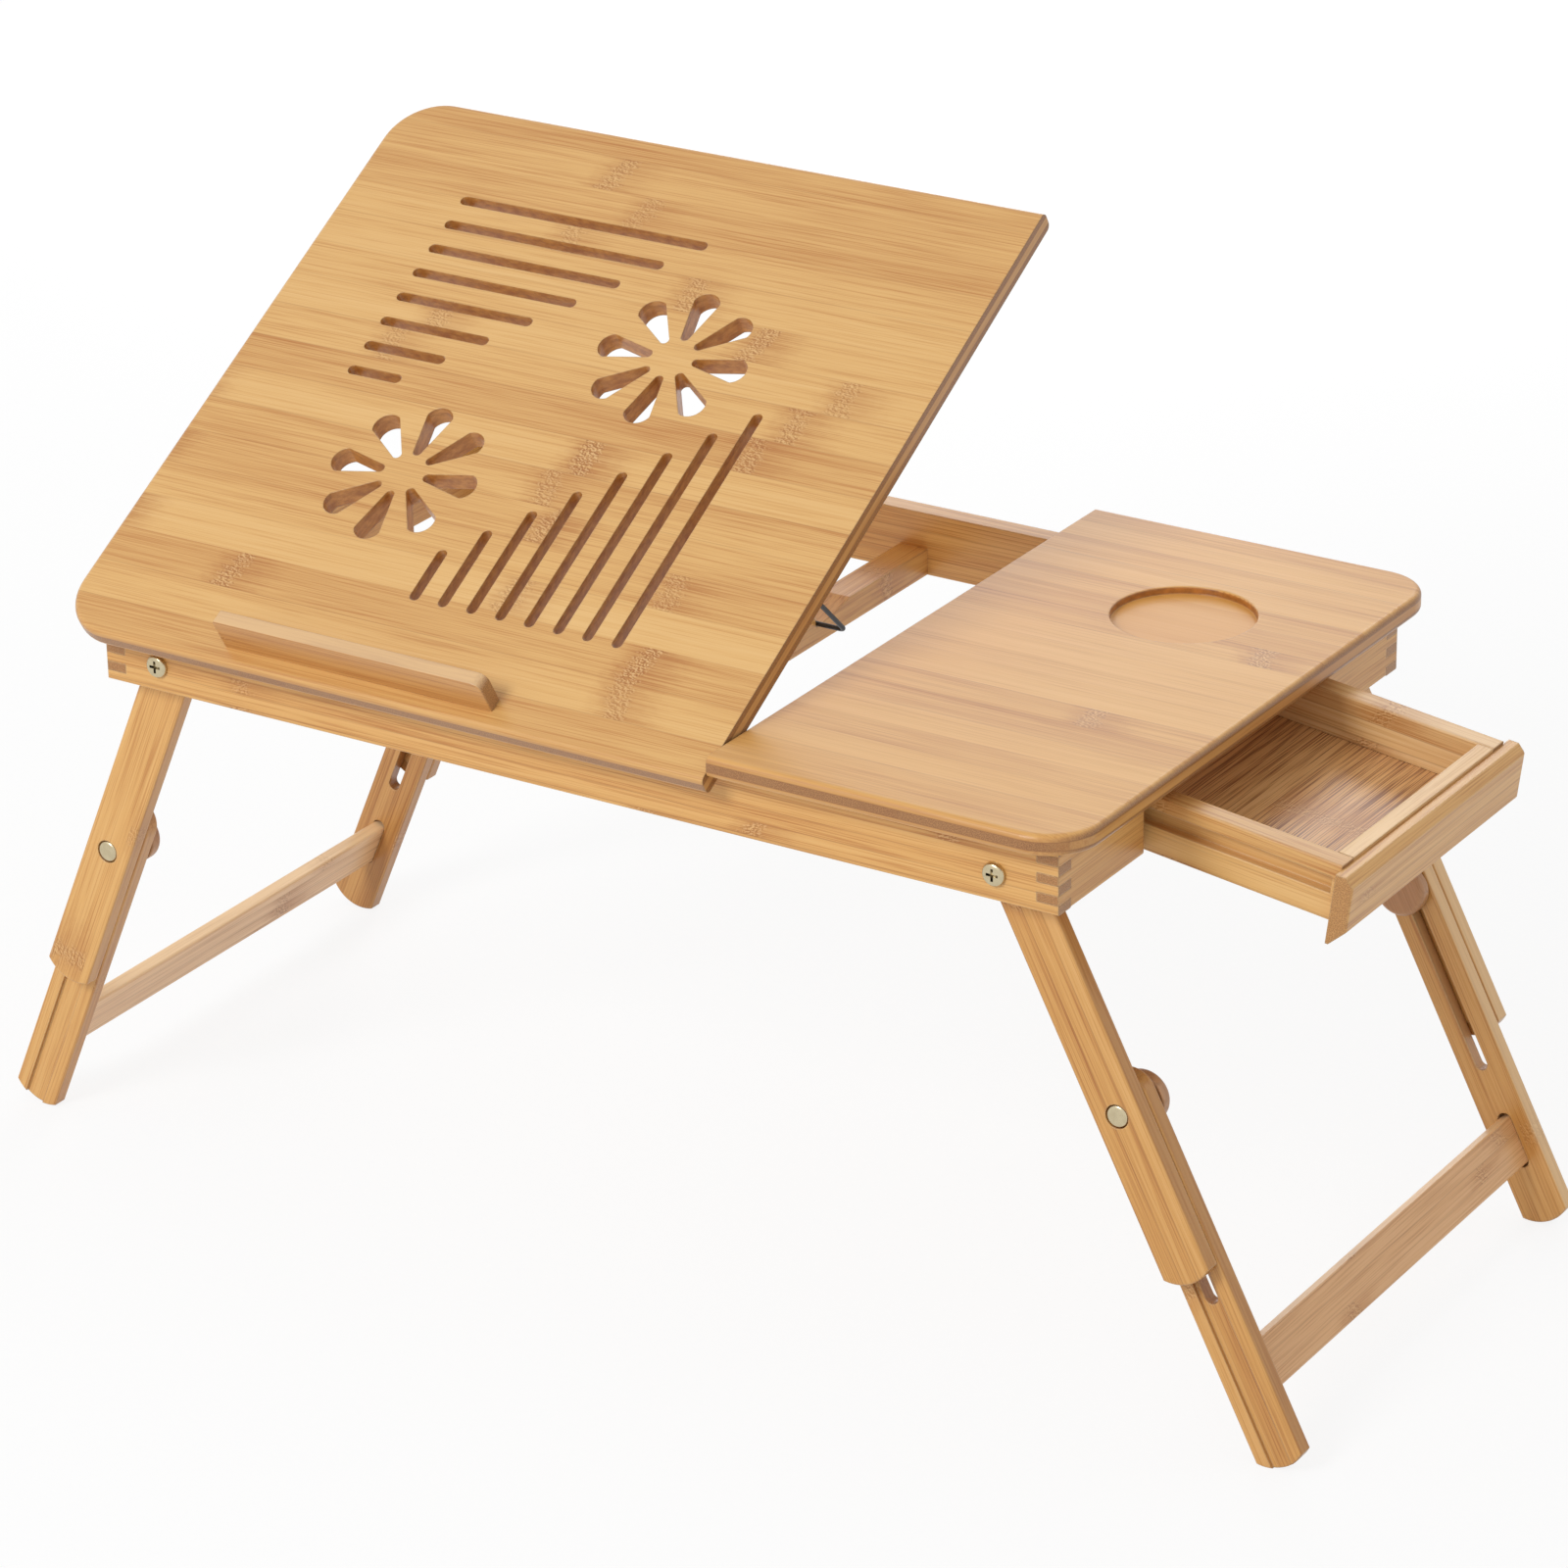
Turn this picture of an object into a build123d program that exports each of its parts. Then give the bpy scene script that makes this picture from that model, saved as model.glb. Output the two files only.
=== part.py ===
from build123d import *
import math
import os

os.makedirs("parts", exist_ok=True)

# Lengths are in millimetres and angles in degrees.
# While it is built, x runs from the seam between the tops to the right,
# y from the front edge of the tops to the back, z up from the floor.

# Tops
table_height = 300.0
top_depth = 350.0
top_thickness = 10.4
tilt_top_length = 367.0
fixed_top_length = 186.0
top_seam = 1.0
tilt_seat = 0.3
tilt_angle = 30.4
tilt_corner_radius = 28.0
fixed_corner_radius = 26.0
top_edge_round = 3.0
under_edge_round = 3.0
cup_radius = 34.5
cup_depth = 3.6
cup_right_inset = 83.8
cup_back_inset = 98.6
cup_edge_round = 0.8

# Vent slots and flower cut-outs of the tilting top, drawn for a board of this depth and length
vent_board_depth = 350.0
vent_board_length = 367.0
slot_count = 8
slot_pitch = 16.15
slot_width = 5.4
slot_longest = 144.0
slot_left_inset = 65.6
slot_right_inset = 78.8
slot_side_inset = 58.1
petal_count = 8
petal_start = 11.4
petal_shoulder = 36.0
petal_tip = 41.3
petal_root_half = 2.4
petal_half = 7.2
petal_corner = 1.8
flower_left_inset = 129.5
flower_right_inset = 139.5
flower_side_inset = 126.5

# Stop ledge
ledge_left_inset = 97.5
ledge_front_inset = 9.2
ledge_length = 151.2
ledge_thickness = 7.7
ledge_height = 18.5
ledge_end_round = 5.0
ledge_edge_round = 0.8
ledge_dowel_radius = 2.0
ledge_dowel_depth = 6.0
ledge_dowel_spacing = 100.0

# Frame of rails
front_overhang = 15.0
left_overhang = 17.5
right_overhang = 14.5
rail_thickness = 11.0
rail_height = 32.6
finger_count = 7
rail_edge_round = 0.8
relief_clearance = 0.3
cross_right_inset = 81.5
cross_width = 16.0
cross_height = 14.0
cross_dowel_radius = 3.0
cross_dowel_length = 18.0
cross_dowel_rail_depth = 8.0

# Butt hinges of the tilting top
hinge_inset = 4.2
hinge_length = 32.0
hinge_left_inset = 98.0
hinge_right_inset = 89.0
knuckle_radius = 2.2
knuckle_clearance = 0.3
knuckle_middle = 11.4
hinge_pin_radius = 1.1
hinge_pin_clearance = 0.05
leaf_thickness = 0.9
leaf_offset = 0.15
frame_leaf_width = 6.2
top_leaf_width = 14.0
hinge_screw_spacing = 20.0
hinge_screw_inset = 2.2
small_head_radius = 1.5
small_shank_radius = 0.8
small_screw_length = 7.0
screw_clearance = 0.03

# Wire bail that props the tilting top, and its saddles
bail_wire_radius = 1.2
bail_bend_radius = 3.0
bail_pivot_inset = 149.0
bail_right_inset = 66.0
bail_width = 50.0
bail_stub = 10.0
bail_drop = 1.6
bail_notch_inset = 222.0
bail_notch_depth = 3.5
bail_notch_clearance = 0.35
bail_ramp_shares = (1.0, 0.95, 0.9, 0.85, 0.8, 0.75, 0.7, 0.6)
saddle_width = 5.0
saddle_foot = 4.6
saddle_thickness = 0.8
saddle_clearance = 0.06
saddle_seat = 0.02
saddle_offset = 5.9

# Legs
leg_width = 25.2
leg_thickness = 9.0
leg_side_clearance = 0.4
leg_rest_clearance = 0.3
leg_edge_round = 1.2
left_splay_angle = 23.2
right_splay_angle = 26.9
pivot_drop = 30.0
upper_leg_end = 205.0
lower_leg_length = 195.0
foot_radius = 20.0
clamp_from_pivot = 122.5
leg_slot_width = 6.6
leg_slot_low = 84.0
leg_slot_high = 178.6
channel_width = 11.0
channel_depth = 2.0
tongue_width = 10.4
tongue_depth = 1.6
tongue_start = 34.0
tongue_end_inset = 8.0
stretcher_from_foot = 43.5
stretcher_width = 24.3
stretcher_thickness = 7.0
stretcher_round = 1.2
mortise_length = 28.8
mortise_width = 7.4
mortise_depth = 5.0
mortise_clearance = 0.2

# Leg pivot screws, washers and nuts
pivot_head_radius = 5.7
pivot_head_height = 2.6
pivot_head_round = 1.9
pivot_cross_length = 6.0
pivot_cross_width = 1.3
pivot_cross_depth = 1.6
pivot_shank_radius = 2.5
pivot_clearance = 0.05
pivot_washer_radius = 6.0
pivot_washer_thickness = 0.8
pivot_washer_gap = 0.1
pivot_nut_radius = 4.6
pivot_nut_thickness = 4.0
pivot_end = 1.0

# Clamp bolts, washers and knobs
bolt_head_radius = 5.5
bolt_head_height = 2.4
bolt_head_round = 1.6
bolt_sink_radius = 5.8
bolt_sink_depth = 2.2
bolt_shank_radius = 2.95
bolt_clearance = 0.05
bolt_end_inset = 0.4
washer_radius = 8.0
washer_thickness = 0.8
washer_gap = 0.1
knob_radius = 12.8
knob_thickness = 7.5
knob_round = 3.0
knob_back_round = 0.8
knob_gap = 0.3
insert_radius = 5.0
insert_length = 5.0
insert_clearance = 0.02

# Drawer and its runners
drawer_opening = 169.4
drawer_side_clearance = 5.5
drawer_length = 120.0
drawer_height = 27.5
drawer_seat = 0.3
drawer_open = 95.0
drawer_droop = 7.6
side_thickness = 11.0
wall_thickness = 8.0
bottom_thickness = 4.0
bottom_raise = 1.5
bottom_tongue = 3.0
bottom_clearance = 0.15
groove_top_drop = 6.7
groove_height = 8.0
groove_depth = 5.0
runner_clearance = 0.3
pin_radius = 1.5
pin_reach = 4.0
pin_seat = 8.0
pin_clearance = 0.05
runner_reach = 4.2
runner_rear_inset = 62.0
runner_pin_gap = 0.6
groove_end_clearance = 0.6
guide_rear_inset = 58.0
guide_bottom_raise = 3.0
panel_width = 170.0
panel_thickness = 9.0
panel_top_drop = 1.5
panel_lip = 8.4
panel_tip = 1.5
panel_top_chamfer = 4.0
panel_end_round = 1.2
drawer_screw_head_radius = 2.8
drawer_screw_head_height = 1.6
drawer_screw_radius = 1.3
drawer_screw_length = 13.0
drawer_screw_spacing = 90.0
drawer_edge_round = 0.7

# How far a cut runs past the face it enters
overrun = 1.0

# Places worked out from the sizes above
mid_y = top_depth / 2
top_under = table_height - top_thickness
tilt_left = -top_seam - tilt_top_length
tilt_right = -top_seam
tilt_under = top_under + tilt_seat
frame_left = tilt_left + left_overhang
frame_right = fixed_top_length - right_overhang
frame_front = front_overhang
frame_back = top_depth - front_overhang
frame_bottom = top_under - rail_height
rail_inner = frame_front + rail_thickness
finger_height = rail_height / finger_count
cross_right = -cross_right_inset
cross_left = cross_right - cross_width
cross_x = (cross_left + cross_right) / 2
cross_top = frame_bottom + cross_height
hinge_y = frame_front + hinge_inset
hinge_z = top_under
hinge_places = (tilt_left + hinge_left_inset, tilt_right - hinge_right_inset)
bail_right = -bail_right_inset
bail_left = bail_right - bail_width
bail_y = bail_pivot_inset
bail_z = tilt_under - bail_drop
notch_y = bail_notch_inset
notch_z = cross_top - bail_notch_depth
pivot_z = table_height - pivot_drop
upper_y = rail_inner + leg_side_clearance
lower_y = upper_y + leg_thickness + leg_side_clearance
leg_inner_y = lower_y + leg_thickness
washer_y = leg_inner_y + washer_gap
knob_y = washer_y + washer_thickness + knob_gap
opening_front = mid_y - drawer_opening / 2
opening_back = mid_y + drawer_opening / 2
box_front = opening_front + drawer_side_clearance
box_x = frame_right + drawer_seat
box_rear = box_x - drawer_length
box_top = frame_bottom + drawer_height
groove_top = box_top - groove_top_drop
pin_x = frame_right - rail_thickness / 2
pin_z = groove_top - runner_clearance - pin_radius
mid_plane = Plane(origin=(0, mid_y, 0), z_dir=(0, 1, 0))
corner = (Align.MIN, Align.MIN, Align.MIN)
upright = (Align.CENTER, Align.CENTER, Align.MIN)


def pivot_x(splay, side):
    """Pivot of a leg that leans on the lower inner edge of its side rail."""
    lean = math.radians(splay)
    reach = leg_width / 2 / math.cos(lean) + (pivot_z - frame_bottom) * math.tan(lean)
    inset = rail_thickness + leg_rest_clearance + reach
    return frame_right - inset if side > 0 else frame_left + inset


def foot_end(splay):
    """Distance from the pivot to the foot's tip when the foot's arc stands on the floor."""
    return (pivot_z - foot_radius) / math.cos(math.radians(splay)) + foot_radius


def bail_geometry():
    """Length of the bail and its angle from the tilting top when it stands in the notch."""
    lean = math.radians(tilt_angle)
    dy = bail_y - hinge_y
    dz = bail_z - hinge_z
    y = hinge_y + dy * math.cos(lean) - dz * math.sin(lean)
    z = hinge_z + dy * math.sin(lean) + dz * math.cos(lean)
    length = math.hypot(notch_y - y, notch_z - z)
    angle = math.degrees(math.atan2(notch_z - z, notch_y - y)) - tilt_angle
    return length, angle


bail_length, bail_angle = bail_geometry()


def bail_bar_at(share):
    """Place of the bail's cross bar when the top stands at a share of its full tilt."""
    lean = math.radians(tilt_angle * share)
    swing = lean + math.radians(bail_angle * share)
    dy = bail_y - hinge_y
    dz = bail_z - hinge_z
    y = hinge_y + dy * math.cos(lean) - dz * math.sin(lean) + bail_length * math.cos(swing)
    z = hinge_z + dy * math.sin(lean) + dz * math.cos(lean) + bail_length * math.sin(swing)
    return y, z


# Helpers
def block(x0, x1, y0, y1, z0, z1):
    return Pos(x0, y0, z0) * Box(x1 - x0, y1 - y0, z1 - z0, align=corner)


def rod_x(y, z, x0, x1, radius):
    return Pos(x0, y, z) * Rot(Y=90) * Cylinder(radius, x1 - x0, align=upright)


def rod_y(x, z, y0, y1, radius):
    return Pos(x, y0, z) * Rot(X=-90) * Cylinder(radius, y1 - y0, align=upright)


def rod_z(x, y, z0, z1, radius):
    return Pos(x, y, z0) * Cylinder(radius, z1 - z0, align=upright)


def slab_y(sketch, y0, y1):
    """A sketch drawn in x and z, given thickness from y0 to y1."""
    return Pos(0, y1, 0) * extrude(Plane.XZ * sketch, y1 - y0)


def slab_x(sketch, x0, x1):
    """A sketch drawn in y and z, given thickness from x0 to x1."""
    return Pos(x0, 0, 0) * extrude(Plane.YZ * sketch, x1 - x0)


def mirrored(part):
    return mirror(part, about=mid_plane)


def both(part):
    return Part() + [part, mirrored(part)]


def group(parts):
    return Part() + list(parts)


def tilted(part):
    """From the closed place of the tilting top to its propped place."""
    return Pos(0, hinge_y, hinge_z) * Rot(X=tilt_angle) * Pos(0, -hinge_y, -hinge_z) * part


def opened(part):
    """From the closed place of the drawer to its pulled-out, drooping place."""
    return Pos(pin_x, 0, pin_z) * Rot(Y=drawer_droop) * Pos(drawer_open - pin_x, 0, -pin_z) * part


def splayed(part, splay, side):
    """From a leg that hangs straight below the origin to its place under the frame."""
    return Pos(pivot_x(splay, side), 0, pivot_z) * Rot(Y=-side * splay) * part


# Tops
def top_plate(x0, x1, seam_x, radius, z0, z1):
    """Board with two rounded corners and rounded edges, square along the seam."""
    outline = Pos((x0 + x1) / 2, mid_y) * Rectangle(x1 - x0, top_depth)
    far = [v for v in outline.vertices() if abs(v.X - seam_x) > overrun]
    plate = extrude(Pos(0, 0, z0) * fillet(far, radius), z1 - z0)
    for index, edge_round in ((-1, top_edge_round), (0, under_edge_round)):
        edges = plate.faces().sort_by(Axis.Z)[index].edges()
        outer = [e for e in edges if abs(e.center().X - seam_x) > overrun]
        plate = fillet(outer, edge_round)
    return plate


def petal():
    root = petal_start + petal_root_half
    inner = ThreePointArc((root, -petal_root_half), (petal_start, 0), (root, petal_root_half))
    upper = Line((root, petal_root_half), (petal_shoulder, petal_half))
    outer = ThreePointArc((petal_shoulder, petal_half), (petal_tip, 0), (petal_shoulder, -petal_half))
    lower = Line((petal_shoulder, -petal_half), (root, -petal_root_half))
    shape = make_face([inner, upper, outer, lower])
    shoulders = [v for v in shape.vertices() if v.X > petal_shoulder - overrun]
    return fillet(shoulders, petal_corner)


def vents():
    """Two fans of slots and two flowers, as one flat sketch."""
    grow = min(top_depth / vent_board_depth, tilt_top_length / vent_board_length)
    shapes = []
    for k in range(slot_count):
        step = k * slot_pitch * grow
        length = slot_longest * grow - step
        x = tilt_left + slot_left_inset * grow + length / 2
        y = top_depth - slot_side_inset * grow - step
        shapes.append(Pos(x, y) * SlotOverall(length, slot_width * grow))
        x = tilt_right - slot_right_inset * grow - step
        y = slot_side_inset * grow + length / 2
        shapes.append(Pos(x, y) * SlotOverall(length, slot_width * grow, rotation=90))
    side = flower_side_inset * grow
    flower_1 = (tilt_left + flower_left_inset * grow, side)
    flower_2 = (tilt_right - flower_right_inset * grow, top_depth - side)
    leaf = scale(petal(), grow)
    for x, y in (flower_1, flower_2):
        for k in range(petal_count):
            shapes.append(Pos(x, y) * Rot(Z=k * 360 / petal_count) * leaf)
    return Sketch() + shapes


def hinge_screw_places(reach):
    """Screw places of both leaves on one side, by the leaf's width."""
    for x in hinge_places:
        for side in (-1, 1):
            yield x + side * hinge_screw_spacing / 2, hinge_y + reach - hinge_screw_inset


def ledge_dowel_places():
    x = tilt_left + ledge_left_inset + ledge_length / 2
    y = ledge_front_inset + ledge_thickness / 2
    return [(x + side * ledge_dowel_spacing / 2, y) for side in (-1, 1)]


def saddle_places():
    return (bail_left - saddle_offset, bail_right + saddle_offset)


def saddle_screw_places():
    reach = bail_wire_radius + saddle_clearance + saddle_thickness + saddle_foot / 2
    for x in saddle_places():
        for side in (-1, 1):
            yield x, bail_y + side * reach


def barrel_room(x):
    half = hinge_length / 2 + knuckle_clearance
    return rod_x(hinge_y, hinge_z, x - half, x + half, knuckle_radius + knuckle_clearance)


def tilting_top():
    plate = top_plate(tilt_left, tilt_right, tilt_right, tilt_corner_radius, tilt_under, table_height)
    height = table_height - tilt_under + overrun * 2
    plate -= extrude(Pos(0, 0, tilt_under - overrun) * vents(), height)
    half = hinge_length / 2 + knuckle_clearance
    seat = hinge_z + leaf_offset + leaf_thickness
    for x in hinge_places:
        plate -= barrel_room(x)
        end = hinge_y + top_leaf_width + knuckle_clearance
        plate -= block(x - half, x + half, hinge_y, end, tilt_under - overrun, seat)
    hole = small_shank_radius + screw_clearance
    for x, y in hinge_screw_places(top_leaf_width):
        plate -= rod_z(x, y, seat - overrun, seat + small_screw_length, hole)
    for x, y in saddle_screw_places():
        plate -= rod_z(x, y, tilt_under - overrun, tilt_under + small_screw_length, hole)
    for x, y in ledge_dowel_places():
        low = table_height - ledge_dowel_depth
        plate -= rod_z(x, y, low, table_height + overrun, ledge_dowel_radius + screw_clearance)
    return tilted(plate)


def stop_ledge():
    x0 = tilt_left + ledge_left_inset
    y0 = ledge_front_inset
    bar = block(x0, x0 + ledge_length, y0, y0 + ledge_thickness, table_height, table_height + ledge_height)
    end_corner = bar.edges().filter_by(Axis.Y).group_by(Axis.Z)[-1].sort_by(Axis.X)[-1]
    bar = fillet(end_corner, ledge_end_round)
    bar = fillet(bar.faces().sort_by(Axis.Z)[-1].edges(), ledge_edge_round)
    for x, y in ledge_dowel_places():
        high = table_height + ledge_dowel_depth
        bar -= rod_z(x, y, table_height - overrun, high, ledge_dowel_radius + screw_clearance)
    return tilted(bar)


def ledge_dowels():
    low = table_height - ledge_dowel_depth
    high = table_height + ledge_dowel_depth
    return tilted(group(rod_z(x, y, low, high, ledge_dowel_radius) for x, y in ledge_dowel_places()))


def fixed_top():
    plate = top_plate(0, fixed_top_length, 0, fixed_corner_radius, top_under, table_height)
    x = fixed_top_length - cup_right_inset
    y = top_depth - cup_back_inset
    plate -= rod_z(x, y, table_height - cup_depth, table_height + overrun, cup_radius)
    rim = plate.faces().sort_by(Axis.Z)[-1].inner_wires()[0].edges()
    return fillet(rim, cup_edge_round)


# Hinges of the tilting top
def hinge_leaf(x, reach, side):
    """One leaf: side -1 lies on the rail with two knuckles, side 1 on the board with the middle one."""
    half = hinge_length / 2
    middle = knuckle_middle / 2
    low = hinge_z + leaf_offset if side > 0 else hinge_z - leaf_offset - leaf_thickness
    leaf = block(x - half, x + half, hinge_y, hinge_y + reach, low, low + leaf_thickness)
    room = knuckle_radius + knuckle_clearance
    gap = knuckle_clearance
    if side > 0:
        leaf -= rod_x(hinge_y, hinge_z, x - half - overrun, x - middle, room)
        leaf -= rod_x(hinge_y, hinge_z, x + middle, x + half + overrun, room)
        leaf += rod_x(hinge_y, hinge_z, x - middle, x + middle, knuckle_radius)
    else:
        leaf -= rod_x(hinge_y, hinge_z, x - middle - gap, x + middle + gap, room)
        leaf += rod_x(hinge_y, hinge_z, x - half, x - middle - gap, knuckle_radius)
        leaf += rod_x(hinge_y, hinge_z, x + middle + gap, x + half, knuckle_radius)
    bore = hinge_pin_radius + hinge_pin_clearance
    leaf -= rod_x(hinge_y, hinge_z, x - half - overrun, x + half + overrun, bore)
    for screw_x, screw_y in hinge_screw_places(reach):
        hole = small_head_radius + screw_clearance
        leaf -= rod_z(screw_x, screw_y, low - overrun, low + leaf_thickness + overrun, hole)
    return leaf


def hinge_frame_leaves():
    return group(hinge_leaf(x, frame_leaf_width, -1) for x in hinge_places)


def hinge_top_leaves():
    return tilted(group(hinge_leaf(x, top_leaf_width, 1) for x in hinge_places))


def hinge_pins():
    half = hinge_length / 2
    return group(rod_x(hinge_y, hinge_z, x - half, x + half, hinge_pin_radius) for x in hinge_places)


def small_screw(x, y, face_z, side, head):
    """Screw whose head ends at face_z and whose shank runs up (side 1) or down (side -1)."""
    neck = face_z + side * head
    tip = neck + side * small_screw_length
    shank = rod_z(x, y, min(neck, tip), max(neck, tip), small_shank_radius)
    return shank + rod_z(x, y, min(face_z, neck), max(face_z, neck), small_head_radius)


def hinge_frame_screws():
    face = hinge_z - leaf_offset
    return group(small_screw(x, y, face, -1, leaf_thickness) for x, y in hinge_screw_places(frame_leaf_width))


def hinge_top_screws():
    face = hinge_z + leaf_offset
    screws = [
        small_screw(x, y, face, 1, leaf_thickness - screw_clearance)
        for x, y in hinge_screw_places(top_leaf_width)
    ]
    return tilted(group(screws))


# Bail and saddles
def prop_bail():
    """Bent wire: two legs, a cross bar in the notch, two stubs out into the saddles."""
    reach = bail_y + bail_length
    path = FilletPolyline(
        (bail_left - bail_stub, bail_y, bail_z),
        (bail_left, bail_y, bail_z),
        (bail_left, reach, bail_z),
        (bail_right, reach, bail_z),
        (bail_right, bail_y, bail_z),
        (bail_right + bail_stub, bail_y, bail_z),
        radius=bail_bend_radius,
    )
    start = Plane(origin=(bail_left - bail_stub, bail_y, bail_z), z_dir=(1, 0, 0))
    wire = sweep(start * Circle(bail_wire_radius), path=path)
    swung = Pos(0, bail_y, bail_z) * Rot(X=bail_angle) * Pos(0, -bail_y, -bail_z) * wire
    return tilted(swung)


def saddle(x):
    """Strap with two feet on the board's underside and a hump around the wire."""
    inner = bail_wire_radius + saddle_clearance
    outer = inner + saddle_thickness
    hump = Pos(bail_y, bail_z) * Circle(outer)
    rise = tilt_under - saddle_seat - bail_z
    hump += Pos(bail_y, bail_z + rise / 2) * Rectangle(outer * 2, rise)
    hole = Pos(bail_y, bail_z) * Circle(inner)
    hole += Pos(bail_y, (bail_z + tilt_under) / 2) * Rectangle(inner * 2, tilt_under - bail_z)
    foot_z = tilt_under - saddle_seat - saddle_thickness / 2
    feet = Pos(bail_y, foot_z) * Rectangle((outer + saddle_foot) * 2, saddle_thickness)
    strap = slab_x(hump + feet - hole, x - saddle_width / 2, x + saddle_width / 2)
    seat_z = tilt_under - saddle_seat
    strap -= block(x - saddle_width, x + saddle_width, bail_y - outer, bail_y + outer, seat_z, seat_z + outer)
    for screw_x, screw_y in saddle_screw_places():
        low = tilt_under - saddle_thickness - overrun
        strap -= rod_z(screw_x, screw_y, low, tilt_under + overrun, small_shank_radius + screw_clearance)
    return strap


def bail_saddles():
    return tilted(group(saddle(x) for x in saddle_places()))


def bail_saddle_screws():
    face = tilt_under - saddle_seat - saddle_thickness * 2
    return tilted(group(small_screw(x, y, face, 1, saddle_thickness) for x, y in saddle_screw_places()))


# Rails
def fingers(x0, x1, y0, y1, first):
    """Every second band of a finger-jointed corner, from the band called first."""
    bands = []
    for k in range(first, finger_count, 2):
        z0 = frame_bottom + k * finger_height
        bands.append(block(x0, x1, y0, y1, z0, z0 + finger_height))
    return group(bands)


def long_rail():
    """Front rail before its own cuts: it keeps the lowest and highest finger at both ends."""
    rail = block(frame_left, frame_right, frame_front, rail_inner, frame_bottom, top_under)
    low_edges = rail.edges().filter_by(Axis.X).group_by(Axis.Z)[0]
    rail = fillet(low_edges, rail_edge_round)
    rail -= fingers(frame_left, frame_left + rail_thickness, frame_front, rail_inner, 1)
    rail -= fingers(frame_right - rail_thickness, frame_right, frame_front, rail_inner, 1)
    for splay, side in ((left_splay_angle, -1), (right_splay_angle, 1)):
        x = pivot_x(splay, side)
        hole = pivot_shank_radius + pivot_clearance
        rail -= rod_y(x, pivot_z, frame_front - overrun, rail_inner + overrun, hole)
    depth = cross_dowel_rail_depth
    z = (frame_bottom + cross_top) / 2
    rail -= rod_y(cross_x, z, rail_inner - depth, rail_inner + overrun, cross_dowel_radius + screw_clearance)
    return rail


def front_rail():
    rail = long_rail()
    drop = hinge_inset * math.tan(math.radians(tilt_angle)) + relief_clearance
    relief = Polyline(
        (hinge_y, top_under),
        (frame_front, top_under - drop),
        (frame_front - overrun, top_under - drop),
        (frame_front - overrun, top_under + overrun),
        (hinge_y, top_under + overrun),
        close=True,
    )
    rail -= slab_x(make_face(relief), frame_left - overrun, 0)
    half = hinge_length / 2 + knuckle_clearance
    seat = hinge_z - leaf_offset - leaf_thickness
    for x in hinge_places:
        rail -= barrel_room(x)
        rail -= block(x - half, x + half, hinge_y, rail_inner + overrun, seat, top_under + overrun)
    for x, y in hinge_screw_places(frame_leaf_width):
        hole = small_shank_radius + screw_clearance
        rail -= rod_z(x, y, seat - small_screw_length, seat + overrun, hole)
    return rail


def back_rail():
    return mirrored(long_rail())


def side_blank(x0, y0, y1):
    rail = block(x0, x0 + rail_thickness, y0, y1, frame_bottom, top_under)
    rail = fillet(rail.edges().filter_by(Axis.Y).group_by(Axis.Z)[0], rail_edge_round)
    return rail - fingers(x0, x0 + rail_thickness, frame_front, rail_inner, 0)


def left_rail():
    rail = side_blank(frame_left, frame_front, frame_back)
    return rail - mirrored(fingers(frame_left, frame_left + rail_thickness, frame_front, rail_inner, 0))


def right_rail_front():
    stub = side_blank(frame_right - rail_thickness, frame_front, opening_front)
    seat = opening_front - pin_seat
    return stub - rod_y(pin_x, pin_z, seat, opening_front + overrun, pin_radius + pin_clearance)


def right_rail_back():
    return mirrored(right_rail_front())


def cross_rail():
    """Bar across the frame with a notch for the bail and a ramp that leads out of it."""
    rail = block(cross_left, cross_right, rail_inner, top_depth - rail_inner, frame_bottom, cross_top)
    rail = fillet(rail.edges().filter_by(Axis.Y).group_by(Axis.Z)[0], rail_edge_round)
    room = bail_wire_radius + bail_notch_clearance
    wall = notch_y - room
    points = [(wall, cross_top + overrun), (wall, notch_z), (notch_y - room / 2, notch_z - room)]
    for share in bail_ramp_shares:
        y, z = bail_bar_at(share)
        points.append((y, z - room))
    points.append((points[-1][0], cross_top + bail_notch_depth * 2))
    rail -= slab_x(make_face(Polyline(*points, close=True)), cross_left - overrun, cross_right + overrun)
    reach = cross_dowel_length - cross_dowel_rail_depth
    z = (frame_bottom + cross_top) / 2
    hole = rod_y(cross_x, z, rail_inner - overrun, rail_inner + reach, cross_dowel_radius + screw_clearance)
    return rail - both(hole)


def cross_rail_dowels():
    y0 = rail_inner - cross_dowel_rail_depth
    z = (frame_bottom + cross_top) / 2
    return both(rod_y(cross_x, z, y0, y0 + cross_dowel_length, cross_dowel_radius))


# Leg pivots
def pivot_places():
    return [pivot_x(left_splay_angle, -1), pivot_x(right_splay_angle, 1)]


def pivot_screw(x):
    head = rod_y(x, pivot_z, frame_front - pivot_head_height, frame_front, pivot_head_radius)
    rim = head.edges().group_by(Axis.Y)[0]
    head = fillet(rim, pivot_head_round)
    y0 = frame_front - pivot_head_height
    y1 = y0 + pivot_cross_depth
    long = pivot_cross_length / 2
    wide = pivot_cross_width / 2
    head -= block(x - long, x + long, y0 - overrun, y1, pivot_z - wide, pivot_z + wide)
    head -= block(x - wide, x + wide, y0 - overrun, y1, pivot_z - long, pivot_z + long)
    nut_y = upper_y + leg_thickness + pivot_washer_gap + pivot_washer_thickness
    end = nut_y + pivot_nut_thickness + pivot_end
    return head + rod_y(x, pivot_z, frame_front, end, pivot_shank_radius)


def pivot_washer(x):
    y0 = upper_y + leg_thickness + pivot_washer_gap
    ring = rod_y(x, pivot_z, y0, y0 + pivot_washer_thickness, pivot_washer_radius)
    return ring - rod_y(x, pivot_z, y0 - overrun, y0 + pivot_washer_thickness + overrun, pivot_shank_radius)


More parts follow.
